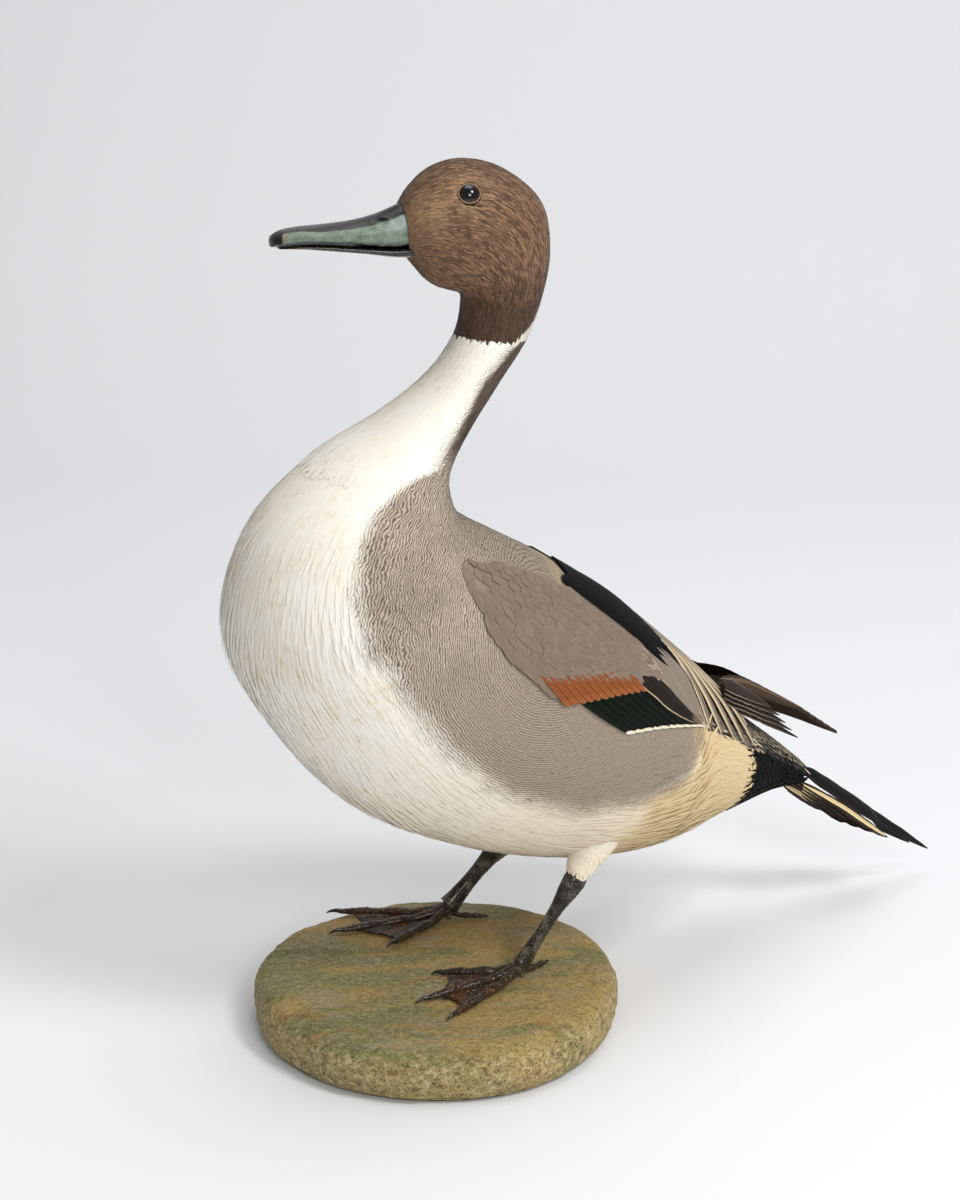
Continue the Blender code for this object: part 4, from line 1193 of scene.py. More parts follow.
    def lay(self, sheet: Sheet, size: CoatSize, finish: Finish, seed: int,
            growth: np.ndarray | float = 1.0, cover: np.ndarray | float = 1.0) -> Solid:
        """Lays a coat of small feathers.

        Args:
            sheet: The sheet of hide under the feathers.
            size: Sizes of the feathers.
            finish: Their finish.
            seed: Seed of the scatter.
            growth: Size of the feathers at each point of the sheet, as a share.
            cover: Share of the feathers that are kept at each point.

        Returns:
            The feathers.
        """
        sheet = sheet.opened()
        down, across = sheet.steps(sheet.points)
        place_down, _ = sheet.steps(sheet.place)
        turn_step = np.abs(np.gradient(sheet.place[..., 1], axis=1))
        rate_s = np.linalg.norm(down, axis=-1) / np.maximum(np.abs(place_down[..., 0]), 1e-6)
        rate_t = np.linalg.norm(across, axis=-1) / np.maximum(turn_step, 1e-6)
        shape = sheet.points.shape[:2]
        mesh = bpy.data.meshes.new("ground")
        mesh.from_pydata(sheet.points.reshape(-1, 3) * MM, [], sheet.faces())
        mesh.shade_smooth()
        none = np.zeros(shape)
        keep(mesh, "place", np.concatenate([sheet.place, none[..., None]], axis=-1))
        keep(mesh, "flow", unit(down))
        keep(mesh, "rate", np.stack([rate_s * MM, rate_t * MM, none], axis=-1))
        keep(mesh, "growth", self.spread(growth, shape), triple=False)
        keep(mesh, "cover", self.spread(cover, shape), triple=False)
        ground = bpy.data.objects.new("ground", mesh)
        leaf = self.leaf(size.leaf)
        for helper in (ground, leaf):
            bpy.context.scene.collection.objects.link(helper)
        modifier = ground.modifiers.new("coat", "NODES")
        modifier.node_group = self.tree
        values = {
            "Leaf": leaf, "Seed": seed, "Finish": finish.material(), "Spacing": size.spacing * MM,
            "Length": size.length * MM, "Width": size.width * MM,
            "Thickness": size.thickness * MM, "Root Lift": size.root_lift * MM,
            "Tip Lift": size.tip_lift * MM, "Camber": size.camber * MM}
        for socket in self.tree.interface.items_tree:
            if socket.in_out == "INPUT" and socket.name in values:
                modifier[socket.identifier] = values[socket.name]
        found = bpy.data.meshes.new_from_object(
            ground.evaluated_get(bpy.context.evaluated_depsgraph_get()))
        coat = Solid.read(found)
        for helper in (ground, leaf):
            bpy.data.objects.remove(helper)
        for old in (found, mesh):
            bpy.data.meshes.remove(old)
        return coat


# Plumage

@dataclass
class Plumage:
    """Feather tracts of the head, neck and body."""

    coat: FeatherCoat
    breast_edge: Edge = ((2.05, 62), (3.0, 64), (3.2, 90), (3.9, 108), (4.6, 116), (5.3, 116),
                         (6.0, 111), (7.3, 106), (8.9, 111), (9.5, 106), (10.1, 88))
    mantle_edge: Edge = (
        (3.0, 34), (4.3, 34), (5.3, 35), (6.6, 38), (7.9, 50), (9.0, 62), (10.1, 70))
    # Turn, then station, as the edge rises at the back.
    hood_edge: Edge = (
        (0, 15.6), (22, 15.0), (32, 14.1), (42, 13.5), (71, 13.1), (100, 12.0), (180, 12.0))
    nape_edge: Edge = ((10.05, 66), (11.0, 80), (12.0, 92), (12.8, 76), (13.5, 32), (15, 20))
    body: BodyPlumage = BodyPlumage("body_plumage")
    eye_opening: float = 4.1

    def eyes(self) -> list[tuple[np.ndarray, np.ndarray]]:
        """Centre of each glass eye, from the frame, and the direction that it looks in."""
        found = []
        for side, sign in SIDES:
            centre = np.array(sum(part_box(side + "_eye"), Vector()) / 2) / MM
            near = HIDE.surface(np.linspace(17, 18.7, 60)[:, None],
                                sign * np.linspace(45, 75, 60)[None, :]).reshape(-1, 3)
            out = near[np.argmin(np.linalg.norm(near - centre, axis=1))] - centre
            found.append((centre, unit(out)))
        return found

    def reach(self, points: np.ndarray, eye: tuple[np.ndarray, np.ndarray]) -> np.ndarray:
        """Distance of points from an eye's axis, on the eye's own side."""
        away = points - eye[0]
        height = away @ eye[1]
        return np.where(height > 0, np.linalg.norm(away - height[..., None] * eye[1], axis=-1),
                        100.0)

    def tract(self, name: str, nodes: Sequence[str], slot: Slot, finish: Finish, outer: Sheet,
              inner: Sheet, size: CoatSize, seed: int,
              growth: Callable[[np.ndarray], np.ndarray] | None = None,
              cover: np.ndarray | float = 1.0,
              inside: Callable[[np.ndarray, np.ndarray], np.ndarray] | None = None) -> None:
        """Builds one tract: the hide and its coat of feathers as one piece.

        Args:
            name: The piece's name.
            nodes: The nodes that it stands for.
            slot: Its material slot.
            finish: Its finish.
            outer: The hide's outer sheet.
            inner: The hide's inner sheet.
            size: Sizes of the feathers.
            seed: Seed of the scatter.
            growth: Size of the feathers as a function of the station.
            cover: Share of the feathers that are kept at each point.
            inside: Distance inside an edge, from stations and turns.
        """
        scale = growth(outer.place[..., 0]) if growth else 1.0
        solid = Solid.joined(
            [plate(outer, inner), self.coat.lay(outer, size, finish, seed, scale, cover)])
        if inside == self.border:
            solid.place[:, 2] = self.bordered(solid.points)
        elif inside:
            solid.place[:, 2] = inside(solid.place[:, 0], solid.place[:, 1])
        else:
            solid.place[:, 2] = FAR_INSIDE
        install(solid.object(name, finish, tidy=False), slot, *nodes)

    def sheets(self, stations: tuple[float, float], low: Callable, high: Callable,
               size: tuple[int, int], lifts: tuple[float, float] | None = None,
               wrap: bool = False) -> tuple[Sheet, Sheet]:
        """Outer and inner sheets of a tract."""
        bottom, top = lifts or (-HIDE.thickness, -0.25)
        return (HIDE.sheet(stations, low, high, top, size, wrap),
                HIDE.sheet(stations, low, high, bottom, size, wrap))

    def build_head(self) -> None:
        """The brown hood, bare round the eyes."""
        outer, inner = self.sheets(
            (HIDE.hood_edge, HIDE.last), level(-180), level(180), (96, 96), wrap=True)
        eyes = self.eyes()
        left = eyes[0][0]
        finish = Hood("hood_plumage", eye=tuple(left), lores=tuple(left + (-14.0, 4.0, -6.0)))
        size = CoatSize(1.25, 4.6, 1.05, root_lift=-0.3, tip_lift=0.18, camber=0.06,
                        thickness=0.1, leaf=Leaf.HAIR)
        down, _ = outer.steps(outer.points)
        flow = unit(down)
        bare = np.zeros(outer.points.shape[:2])
        for eye in eyes:
            for step in (0.0, 1.2, 2.4, 3.4):
                bare = np.maximum(
                    bare, self.reach(outer.points + flow * step, eye) < self.eye_opening)
            for sheet in (outer, inner):
                sunk = np.clip((self.eye_opening + 0.6 - self.reach(sheet.points, eye)) / 1.2,
                               0, 1)
                sheet.points -= eye[1] * (5.5 * sunk * sunk * (3 - 2 * sunk))[..., None]

        def growth(s: np.ndarray) -> np.ndarray:
            """Smaller feathers towards the bill."""
            return np.interp(s, (13, 15, 18, 20, 21), (1.25, 1.15, 0.9, 0.65, 0.5))

        def inside(s: np.ndarray, turn: np.ndarray) -> np.ndarray:
            """Distance above the hood's lower edge, which rises at the back."""
            turn = np.abs((turn + 180) % 360 - 180)
            return (s - read_edge(self.hood_edge, turn)) * 15

        self.tract("hood", ["head_hide"], Slot.HOOD, finish, outer, inner, size, 3, growth,
                   1 - bare, inside)

    def build_neck(self) -> None:
        """The white neck with the dark stripe down its nape."""
        outer, inner = self.sheets(
            (HIDE.neck_root, HIDE.hood_edge - 0.04), level(-180), level(180), (48, 72), wrap=True)

        self.tract(
            "neck_plumage", ["neck_hide"], Slot.WHITE, self.body, outer, inner,
            CoatSize(2.2, 7.0, 2.6, root_lift=-0.4, tip_lift=0.12, camber=0.06, thickness=0.06),
            5, inside=self.border)

    def border(self, s: np.ndarray, turn: np.ndarray) -> np.ndarray:
        """Distance from the border of the white into the grey, in millimetres."""
        turn = np.abs((turn + 180) % 360 - 180)
        body = (read_edge(self.breast_edge, s) - turn) * 0.9
        body = np.minimum(body, (s - 3.02) * 160)
        nape = (read_edge(self.nape_edge, s) - turn) * 0.32
        return np.where(s < HIDE.neck_root, body, nape)

    @cached_property
    def ground(self) -> tuple[KDTree, np.ndarray]:
        """The whole hide as a tree of points, with each one's distance from the border."""
        sheet = HIDE.sheet((2.0, HIDE.hood_edge), level(-180), level(180), 0.0, (220, 180), True)
        points = sheet.points.reshape(-1, 3)
        tree = KDTree(len(points))
        for k, point in enumerate(points):
            tree.insert(point, k)
        tree.balance()
        place = sheet.place.reshape(-1, 2)
        return tree, self.border(place[:, 0], place[:, 1])

    def bordered(self, points: np.ndarray) -> np.ndarray:
        """Distance from the border of the white at each point, blended from the hide's."""
        tree, inside = self.ground
        found = np.empty(len(points))
        for k, point in enumerate(points):
            near = tree.find_n(point, 4)
            weights = [1.0 / (distance + 0.05) for _, _, distance in near]
            found[k] = sum(w * inside[index] for w, (_, index, _) in zip(weights, near))
            found[k] /= sum(weights)
        return found

    def build_body(self) -> None:
        """Breast, mantle, flanks, rump and undertail."""
        seam = 0.2

        def growth(s: np.ndarray) -> np.ndarray:
            """Smaller feathers towards the neck and the tail."""
            return np.interp(s, (2, 3.5, 6.5, 8.5, 10.1), (0.9, 1.05, 1.0, 0.8, 0.6))

        outer, inner = self.sheets(
            (2.1, HIDE.neck_root + 0.1), lambda s: read_edge(self.breast_edge, s) + seam,
            lambda s: 360 - read_edge(self.breast_edge, s) - seam, (120, 72))
        self.tract(
            "breast_plumage", ["breast_feathers"], Slot.WHITE, self.body, outer, inner,
            CoatSize(3.4, 15.0, 1.7, root_lift=-0.1, tip_lift=0.05, camber=0.03, thickness=0.03,
            leaf=Leaf.HAIR), 7, growth, inside=self.border)
        outer, inner = self.sheets(
            (3.05, HIDE.neck_root + 0.1), lambda s: -read_edge(self.mantle_edge, s) + seam,
            lambda s: read_edge(self.mantle_edge, s) - seam, (90, 36))
        small = CoatSize(
            3.4, 9.5, 5.5, root_lift=-0.12, tip_lift=0.05, camber=0.04, thickness=0.03)
        self.tract("mantle_plumage", ["mantle_feathers"], Slot.GREY, self.body, outer, inner,
                   small, 9, growth)
        for side, sign in SIDES:
            edges = (lambda s: sign * (read_edge(self.mantle_edge, s) + seam),
                     lambda s: sign * (read_edge(self.breast_edge, s) - seam))
            low, high = edges if sign > 0 else edges[::-1]
            outer, inner = self.sheets((3.05, HIDE.neck_root + 0.1), low, high, (100, 30))
            self.tract(side + "_flank_plumage", [side + "_flank_feathers"], Slot.GREY,
                       self.body, outer, inner, small, 11, growth, inside=self.border)
        outer, inner = self.sheets((HIDE.tail_base, 3.0), level(-61.5), level(61.5), (40, 36))
        self.tract("rump_plumage", ["rump_feathers"], Slot.GREY, Rump("rump_plumage"), outer,
                   inner, CoatSize(3.0, 11.0, 4.0, tip_lift=0.6), 13)

        def vent(s: np.ndarray, turn: np.ndarray) -> np.ndarray:
            """Distance behind the jagged edge of the cream vent."""
            return (2.1 - s) * 12 + 2.5 * np.sin(turn * 0.9)

        outer, inner = self.sheets((HIDE.tail_base, 2.05), level(62.5), level(297.5), (36, 60))
        self.tract(
            "undertail_plumage", ["undertail_feathers"], Slot.BLACK, Black("black_plumage"),
            outer, inner, CoatSize(2.8, 11.0, 3.4, tip_lift=0.6), 15, inside=vent)


# Wings

@dataclass
class Wing:
    """One folded wing: coverts, band, speculum, scapulars, tertials and primaries."""

    side: str
    sign: int
    plumage: Plumage
    covert_top: Edge = ((3.75, 44), (4.2, 34.5), (5.3, 32.0), (6.6, 36.5), (7.9, 50))
    covert_low: Edge = (
        (3.75, 57), (4.1, 61), (4.7, 69), (5.3, 75), (6.4, 70), (7.0, 62), (7.9, 53))
    layer: tuple[float, float] = (0.5, 1.8)

    def place(self, name: str, node: str, slot: Slot, finish: Finish,
              feathers: Sequence[Solid]) -> None:
        """Installs a group of feathers in place of one node."""
        piece = Solid.joined(feathers).object(self.side + "_" + name, finish)
        install(piece, slot, self.side + "_" + node)

    def routed(self, routes: Sequence[Route],
               half_widths: Sequence[float], **shape: float) -> list[Solid]:
        """Feathers along routes given for the right wing."""
        found = []
        for k, route in enumerate(routes):
            route = [(s, self.sign * turn, lift) for s, turn, lift in route]
            found.append(hide_feather(route, half_widths, chance=(k * 0.37) % 1, **shape))
        return found

    def fan(self, first: Route, final: Route, count: int) -> list:
        """Routes in even steps from the first to the final one."""
        return [[tuple(a + (b - a) * k / (count - 1) for a, b in zip(p, q))
                 for p, q in zip(first, final)] for k in range(count)]

    def build_coverts(self) -> None:
        """The plain panel of wing coverts."""
        gap = 0.7
        edges = (lambda s: self.sign * (read_edge(self.covert_top, s) + gap),
                 lambda s: self.sign * (read_edge(self.covert_low, s) - gap))
        low, high = edges if self.sign > 0 else edges[::-1]
        outer, inner = self.plumage.sheets(
            (3.8, 7.75), low, high, (60, 24), (self.layer[0], self.layer[1] - 0.3))
        share = np.linspace(0, 1, outer.points.shape[1])[None, :]
        drop = 1 - np.sin(np.pi * np.clip(share, 0.02, 0.98)) ** 0.4
        drop = drop * 0.6 + np.interp(outer.place[..., 0], (3.8, 6.0, 7.75), (0, 0.3, 1.1))
        sink = HIDE.normal(outer.place[..., 0], outer.place[..., 1]) * drop[..., None]
        outer.points -= sink
        inner.points -= sink
        turn = np.abs(outer.place[..., 1])
        rear = np.interp(turn, (46, 57, 61, 69, 75), (3.6, 3.75, 4.1, 4.7, 5.3))
        cover = (outer.place[..., 0] > rear + 0.21).astype(float)
        self.plumage.tract(
            self.side + "_covert_panel", [self.side + "_wing_coverts"], Slot.WING,
            Coverts("covert_plumage"), outer, inner,
            CoatSize(4.2, 15.0, 8.0, root_lift=-0.3, tip_lift=0.24, camber=0.12, thickness=0.08,
            leaf=Leaf.ROUND), 17, lambda s: np.interp(s, (3.8, 5, 6.5, 7.8),
            (0.85, 1.0, 0.8, 0.5)), cover)

    def panel(self, first: Route,
              final: Route, count: int, step: float = 0.35,
              scallop: float = 0.0, rows: int = 22) -> Solid:
        """Overlapping feathers that share one trailing edge, as one closed sheet.

        Args:
            first: Route of the first feather, for the right wing.
            final: Route of the last one.
            count: How many feathers.
            step: How far each stands above the next, in millimetres.
            scallop: How far each rounded tip reaches, as a share of the length.
            rows: Points along each feather.

        Returns:
            The sheet, with each feather's own place on its vane.
        """
        per = 8
        shares = []
        for k in range(count):
            shares += [(k, f) for f in np.linspace(0.02, 0.98, per)]
        places = []
        vane = []
        for k, f in shares:
            part = (k + f) / count
            route = [tuple(a + (b - a) * part for a, b in zip(p, q))
                     for p, q in zip(first, final)]
            path = smooth_path(route, rows)
            if scallop:
                path[-4:] += (
                    (path[-1] - path[-5]) * scallop * (math.sin(math.pi * f) - 0.5))[None,
                    :] * np.array([[0.25], [0.5], [0.75], [1.0]])
            path[:, 1] *= self.sign
            path[:, 2] += step * (1 - f)
            places.append(path)
            along = np.linspace(0, 1, rows)
            vane.append(np.stack([np.full(rows, 2 * f - 1), along,
                                  np.full(rows, (k * 0.37 + 0.11) % 1)], axis=-1))
        if self.sign < 0:
            places.reverse()
            vane.reverse()
        places = np.stack(places, axis=1)
        vane = np.stack(vane, axis=1).reshape(-1, 3)
        top = HIDE.point(places[..., 0], places[..., 1], places[..., 2])
        under = HIDE.point(places[..., 0], places[..., 1], places[..., 2] - 0.3 - step)
        solid = plate(Sheet(top, places[..., :2]), Sheet(under, places[..., :2]))
        solid.vane = np.concatenate([vane, vane])
        return solid

    def build_band(self) -> None:
        """Rufous tips of the greater coverts, and the green secondaries behind them."""
        finish = Vane("rufous_tips", web=srgb(156, 88, 48), shaft=srgb(128, 72, 40),
                      band=srgb(168, 100, 56), tip=srgb(186, 130, 86), tip_from=0.975,
                      band_from=0.8, contrast=0.3)
        band = self.panel(
            ((5.7, 71.5, 0.8), (5.45, 75, 1.3), (5.2, 78.6, 1.1)),
            ((4.45, 54, 0.8), (4.25, 57.5, 1.5), (4.02, 61.2, 1.3)), 12, scallop=0.35)
        self.place("rufous_band", "greater_coverts", Slot.RUFOUS, finish, [band])
        finish = Vane(
            "speculum", web=srgb(12, 28, 14), band=srgb(9, 9, 9), tip=srgb(236, 229, 212),
            band_from=0.84, tip_from=0.90, contrast=0.5, rough=0.5, shaft_width=0.0)
        panel = self.panel(
            ((5.2, 73.5, 0.5), (4.75, 77.5, 0.9), (4.27, 80.6, 0.6)),
            ((3.9, 54, 0.5), (3.45, 59.5, 0.9), (3.0, 62.8, 0.7)), 10, scallop=0.12, rows=32)
        self.place("speculum", "secondaries", Slot.GREEN, finish, [panel])

    def build_scapulars(self) -> None:
        """The velvety black patch and the long striped feathers behind it."""
        low, high = sorted((self.sign * 7.0, self.sign * 31.0))
        outer, inner = self.plumage.sheets(
            (3.2, 4.95), level(low), level(high), (30, 20), (self.layer[0], self.layer[1] - 0.3))
        bed = plate(outer, inner)
        bed.place[:, 2] = FAR_INSIDE
        routes = self.fan(((5.14, 26, 1.2), (4.4, 31.5, 2.3), (3.54, 43.0, 1.7)),
                          ((4.45, 8, 1.4), (3.9, 11, 2.2), (3.15, 15, 2.0)), 9)
        feathers = self.routed(routes, (2.6, 5.0, 5.4, 3.6, 0.4), camber=0.4)
        for solid in feathers:
            solid.place[:, 2] = FAR_INSIDE
        self.place("black_scapulars", "scapulars", Slot.BLACK, Black("black_plumage"),
                   [bed, *feathers])
        striped = Vane(
            "striped_scapular", web=srgb(158, 145, 130), edge=srgb(218, 202, 166),
            stripe=srgb(12, 11, 11), shaft=srgb(20, 18, 18), band=srgb(140, 128, 116),
            stripe_to=0.24, edge_from=0.54, contrast=0.15, shift=0.3 * self.sign)
        lower = (((3.75, 16, 1.6), (3.2, 23, 2.2), (3.05, 40, 2.0), (2.93, 63, 1.2)),
                 ((3.7, 14, 1.8), (3.05, 21, 2.5), (2.86, 40, 2.2), (2.70, 63, 1.3)),
                 ((3.65, 12, 2.0), (2.95, 19, 2.8), (2.66, 38, 2.4), (2.46, 62, 1.4)))
        upper = (((3.6, 11, 2.2), (2.85, 17, 3.1), (2.46, 36, 2.6), (2.24, 62, 1.5)),
                 ((3.55, 9, 2.4), (2.75, 14, 3.4), (2.27, 30, 2.8), (1.98, 61, 1.5)),
                 ((3.5, 7, 2.6), (2.75, 10, 3.8), (2.2, 18, 3.4), (2.02, 44, 1.8)))
        for name, routes in (("lower", lower), ("upper", upper)):
            self.place(
                "striped_scapulars_" + name, "long_scapular_" + name, Slot.STRIPED, striped,
                self.routed(routes, (1.6, 3.0, 3.9, 4.0, 3.0, 0.4), camber=0.5, rows=26))

    def build_tertials(self) -> None:
        """Broad grey tertials with a black streak, and a black one with a thin cream edge."""
        grey = Vane(
            "grey_tertial", web=srgb(152, 139, 124), edge=srgb(190, 176, 150),
            shaft=srgb(140, 128, 116), band=srgb(150, 138, 126), edge_from=0.93, contrast=0.12)
        streaked = Vane(
            "streaked_tertial", web=srgb(152, 139, 124), edge=srgb(216, 202, 168),
            stripe=srgb(14, 12, 12), shaft=srgb(20, 18, 18), band=srgb(150, 138, 126),
            stripe_to=0.34, edge_from=0.84, shift=0.2 * self.sign, contrast=0.15)
        dark = Vane("dark_tertial", web=srgb(24, 20, 19), edge=srgb(206, 190, 158),
                    shaft=srgb(14, 12, 12), band=srgb(128, 108, 88),
                    edge_from=0.9, band_from=0.86, contrast=0.25)
        groups = (
            ("upper", grey, (((3.95, 33, 1.2), (3.45, 39, 1.9), (3.22, 49, 1.5), (3.1, 60, 0.9)),
            ((4.05, 42, 1.0), (3.62, 48, 1.6), (3.36, 56, 1.2), (3.2, 62, 0.8))),
            (2.6, 6.0, 6.4, 4.6, 1.2)),
            ("middle", streaked, (((3.6, 30, 1.4), (3.2, 37, 1.9), (3.1, 48, 1.6),
            (2.98, 61.5, 1.0)),), (1.4, 3.0, 3.4, 2.8, 0.8)),
            ("lower", dark, (((4.3, 55, 0.9), (3.86, 57.5, 1.8), (3.5, 60.5, 1.5),
            (3.1, 62, 1.0)),), (2.4, 5.0, 5.4, 3.6, 1.0)))
        for name, finish, routes, half_widths in groups:
            self.place("tertial_feather_" + name, "tertial_" + name, Slot.STRIPED, finish,
                       self.routed(routes, half_widths, camber=0.5, rows=20))

    def stack(self, path: Route, half_widths: Sequence[float],
              normal: tuple[float, float, float], count: int, shorten: float, step: Vector,
              ragged: float) -> list[Solid]:
        """A stack of flight feathers, each shorter than the one below it.

        Args:
            path: Shaft of the longest feather.
            half_widths: Half widths of a feather.
            normal: Direction that the stack faces.
            count: How many feathers.
            shorten: How much shorter each is, as a share.
            step: How far each lies from the one below.
            ragged: How uneven the edges are.

        Returns:
            The feathers.
        """
        shaft = smooth_path(path, 24)
        found = []
        for k in range(count):
            moved = shaft[0] + (shaft - shaft[0]) * (1 - shorten * k) + np.array(step) * k
            found.append(feather(moved, half_widths, np.array(normal), camber=0.6,
                                 ragged=ragged, chance=(0.21 + k * 0.37) % 1))
        return found

    def build_primaries(self) -> None:
        """The two stacks of flight feathers over the rump."""
        y = HIDE.middle
        sign = self.sign
        normal = (0.45, sign * 0.55, 0.70)
        outer = ((140, y + sign * 12, 125.0), (160, y + sign * 9.5, 118.0),
                 (184, y + sign * 7.0, 105.5), (214, y + sign * 4.5, 88.5))
        inner = ((134, y + sign * 23.0, 124.0), (150, y + sign * 20, 116.5),
                 (167, y + sign * 17, 105.5), (184, y + sign * 14, 94.5))
        brown = Vane(
            "outer_primaries", web=srgb(78, 60, 44), edge=srgb(60, 49, 40),
            stripe=srgb(118, 90, 62), shaft=srgb(50, 38, 30), band=srgb(58, 44, 34),
            stripe_to=0.35, edge_from=0.62, shift=0.5 * sign, contrast=0.35, band_from=0.93)
        slate = Vane("inner_primaries", web=srgb(60, 51, 43), edge=srgb(160, 146, 126),
                     shaft=srgb(40, 34, 30), band=srgb(30, 26, 24),
                     edge_from=0.9, band_from=0.9, contrast=0.3)
        self.place(
            "flight_feathers", "outer_primaries", Slot.FLIGHT, brown,
            self.stack(outer, (3, 5.0, 5.4, 4.2, 2.8, 1.2), normal, 6, 0.07,
            Vector((0.5, sign * 0.35, 0.75)), 0.12))
        self.place(
            "inner_flight_feathers", "inner_primaries", Slot.FLIGHT, slate,
            self.stack(inner, (3, 4.6, 4.6, 3.4, 1.8, 0.3), normal, 5, 0.09,
            Vector((0.4, sign * -0.3, 1.9)), 0.14))

    def build(self) -> None:
        """Builds every group of the wing."""
        self.build_coverts()
        self.build_band()
        self.build_scapulars()
        self.build_tertials()
        self.build_primaries()


@dataclass
class Tail:
    """The two short fans and the two long middle feathers."""

    reach: dict[str, tuple[float, float]] = field(
        default_factory=lambda: {"left": (264.0, 21.0), "right": (280.0, 12.5)})

    def build(self) -> None:
        """Builds the tail feathers of both sides."""
        y = HIDE.middle
        black = Vane(
            "long_tail", web=srgb(26, 23, 23), edge=srgb(52, 44, 40), shaft=srgb(14, 12, 12),
            band=srgb(18, 16, 16), edge_from=0.85, contrast=0.3, rough=0.5)
        for side, sign in SIDES:
            fan = np.array(((195.5, y + sign * 5.2, 66.0), (215, y + sign * 8.8, 53),
                            (234, y + sign * 7.6, 38.6), (246, y + sign * 7, 29.5)))
            cream = Vane(
                side + "_tail_stripe", web=srgb(52, 44, 40), edge=srgb(44, 36, 32),
                stripe=srgb(232, 214, 172), shaft=srgb(90, 76, 60), band=srgb(60, 50, 44),
                stripe_to=0.42, shift=-0.05 * sign, edge_from=0.8, band_from=0.92, contrast=0.25)
            normal = np.array((0.42, sign * 0.62, 0.66))
            shaft = smooth_path(fan, 20)
            feathers = []
            for k in range(4):
                moved = shaft[0] + (shaft - shaft[0]) * (1 - 0.16 * k)
                moved = moved + np.array((-0.5, sign * 0.35, -1.3)) * k
                feathers.append(feather(moved, (1.2, 3.4, 3.8, 3.0, 0.4), normal, camber=0.5,
                                        ragged=0.1, chance=(k * 0.41 + 0.1) % 1))
            piece = Solid.joined(feathers).object(side + "_tail_feathers", cream)
            install(piece, Slot.STRIPED, side + "_tail_fan")
            reach, drop = self.reach[side]
            path = ((194, y + sign * 1.5, 73.2), (203, y + sign * 2.8, 69),
                    (215, y + sign * 3.0, 60), (238, y + sign * 2.8, 42.5),
                    (reach - 18, y + sign * 2.6, drop + 12.5), (reach, y + sign * 2.4, drop))
            long = feather(smooth_path(path, 40), (0.9, 2.8, 3.4, 3.3, 2.6, 0.3),
                           np.array((0.36, sign * 0.80, 0.48)), camber=0.5, ragged=0.08)
            install(long.object(side + "_long_tail", black), Slot.BLACK,
                    side + "_long_tail_feather")


# Head details

@dataclass
class Bill:
    """The upper and lower halves of the bill, in the straight head's own frame."""

    # x, top z, bottom z, half width.
    upper: tuple[tuple[float, ...], ...] = (
        (-3.0, 347.2, 328.8, 8.6), (-7.2, 345.8, 329.0, 9.0), (-12, 343.8, 329.2, 9.2),
        (-18, 341.8, 329.9, 9.3), (-26, 340.2, 331.2, 9.2), (-36, 339.2, 332.2, 9.2),
        (-46, 338.6, 333.0, 9.3), (-53, 337.6, 332.6, 8.2), (-57, 335.8, 332.0, 5.2),
        (-58.2, 334.4, 332.2, 2.4))
    lower: tuple[tuple[float, ...], ...] = (
        (-2.4, 330.0, 325.4, 8.4), (-5.6, 329.6, 325.2, 8.6), (-12, 329.6, 325.8, 8.6),
        (-22, 330.4, 327.4, 8.4), (-34, 331.6, 328.9, 8.2), (-45, 332.3, 330.3, 8.2),
        (-52, 332.0, 330.8, 7.0), (-55.4, 331.4, 330.8, 4.6))
    nostril: tuple[float, float] = (-15.6, 340.0)
    rows: int = 90
    sides: int = 72

    def half(self, sections: Sequence[Sequence[float]], top_power: tuple[float, float],
             bottom_power: float, nostrils: bool) -> Solid:
        """One half of the bill.

        Args:
            sections: Its x, top, bottom and half width.
            top_power: How pointed the top is at the base and at the tip.
            bottom_power: How flat the underside is.
            nostrils: True where it has the nostrils.

        Returns:
            The solid, whose place triple is x, height share and side.
        """
        table = smooth_path(sections, self.rows)
        x, top, bottom, half = (table[:, k][:, None] for k in range(4))
        angle = np.linspace(0, 2 * np.pi, self.sides, endpoint=False)[None, :]
        sine = np.sin(angle)
        power = np.where(sine > 0, np.linspace(*top_power, self.rows)[:, None], bottom_power)
        rise = np.sign(sine) * np.abs(sine) ** power
        z = (top + bottom) / 2 + (top - bottom) / 2 * rise
        side = half * np.cos(angle)
        x = np.broadcast_to(x, z.shape)
        height = (z - bottom) / (top - bottom)
        if nostrils:
            at_x, at_z = self.nostril
            far = np.sqrt(((x - at_x) / 3.0) ** 2 + ((z - at_z) / 1.35) ** 2)
            dent = np.clip(1 - far, 0, 1) ** 0.8 * 1.3 - np.exp(-((far - 1.25) / 0.25) ** 2) * 0.3
            side = side - np.sign(side) * dent
            nail = np.exp(-((x + 57) / 3.4) ** 2) * np.clip(1 - np.abs(side) / 4.5, 0, 1)
            z = z + nail * np.where(sine > 0, 0.5, -0.8)
            groove = np.exp(-((height - 0.13) / 0.05) ** 2) * 0.35
            side = side - np.sign(side) * groove
        rings = HIDE.turned(x, side, z, HIDE.head_turn)
        return loft(rings, place=np.stack([x, height, side], axis=-1))

    def build(self) -> None:
        """Builds both halves and the nostrils' dark hollows."""
        upper = self.half(self.upper, (1.5, 0.95), 0.45, True)
        install(upper.object("bill_upper_half", Horn("varnished_horn")), Slot.HORN, "upper_bill")
        lower = self.half(self.lower, (0.45, 0.45), 0.9, False)
        install(lower.object("bill_lower_half", Claw("black_horn")), Slot.BILL_BLACK,
                "lower_bill")


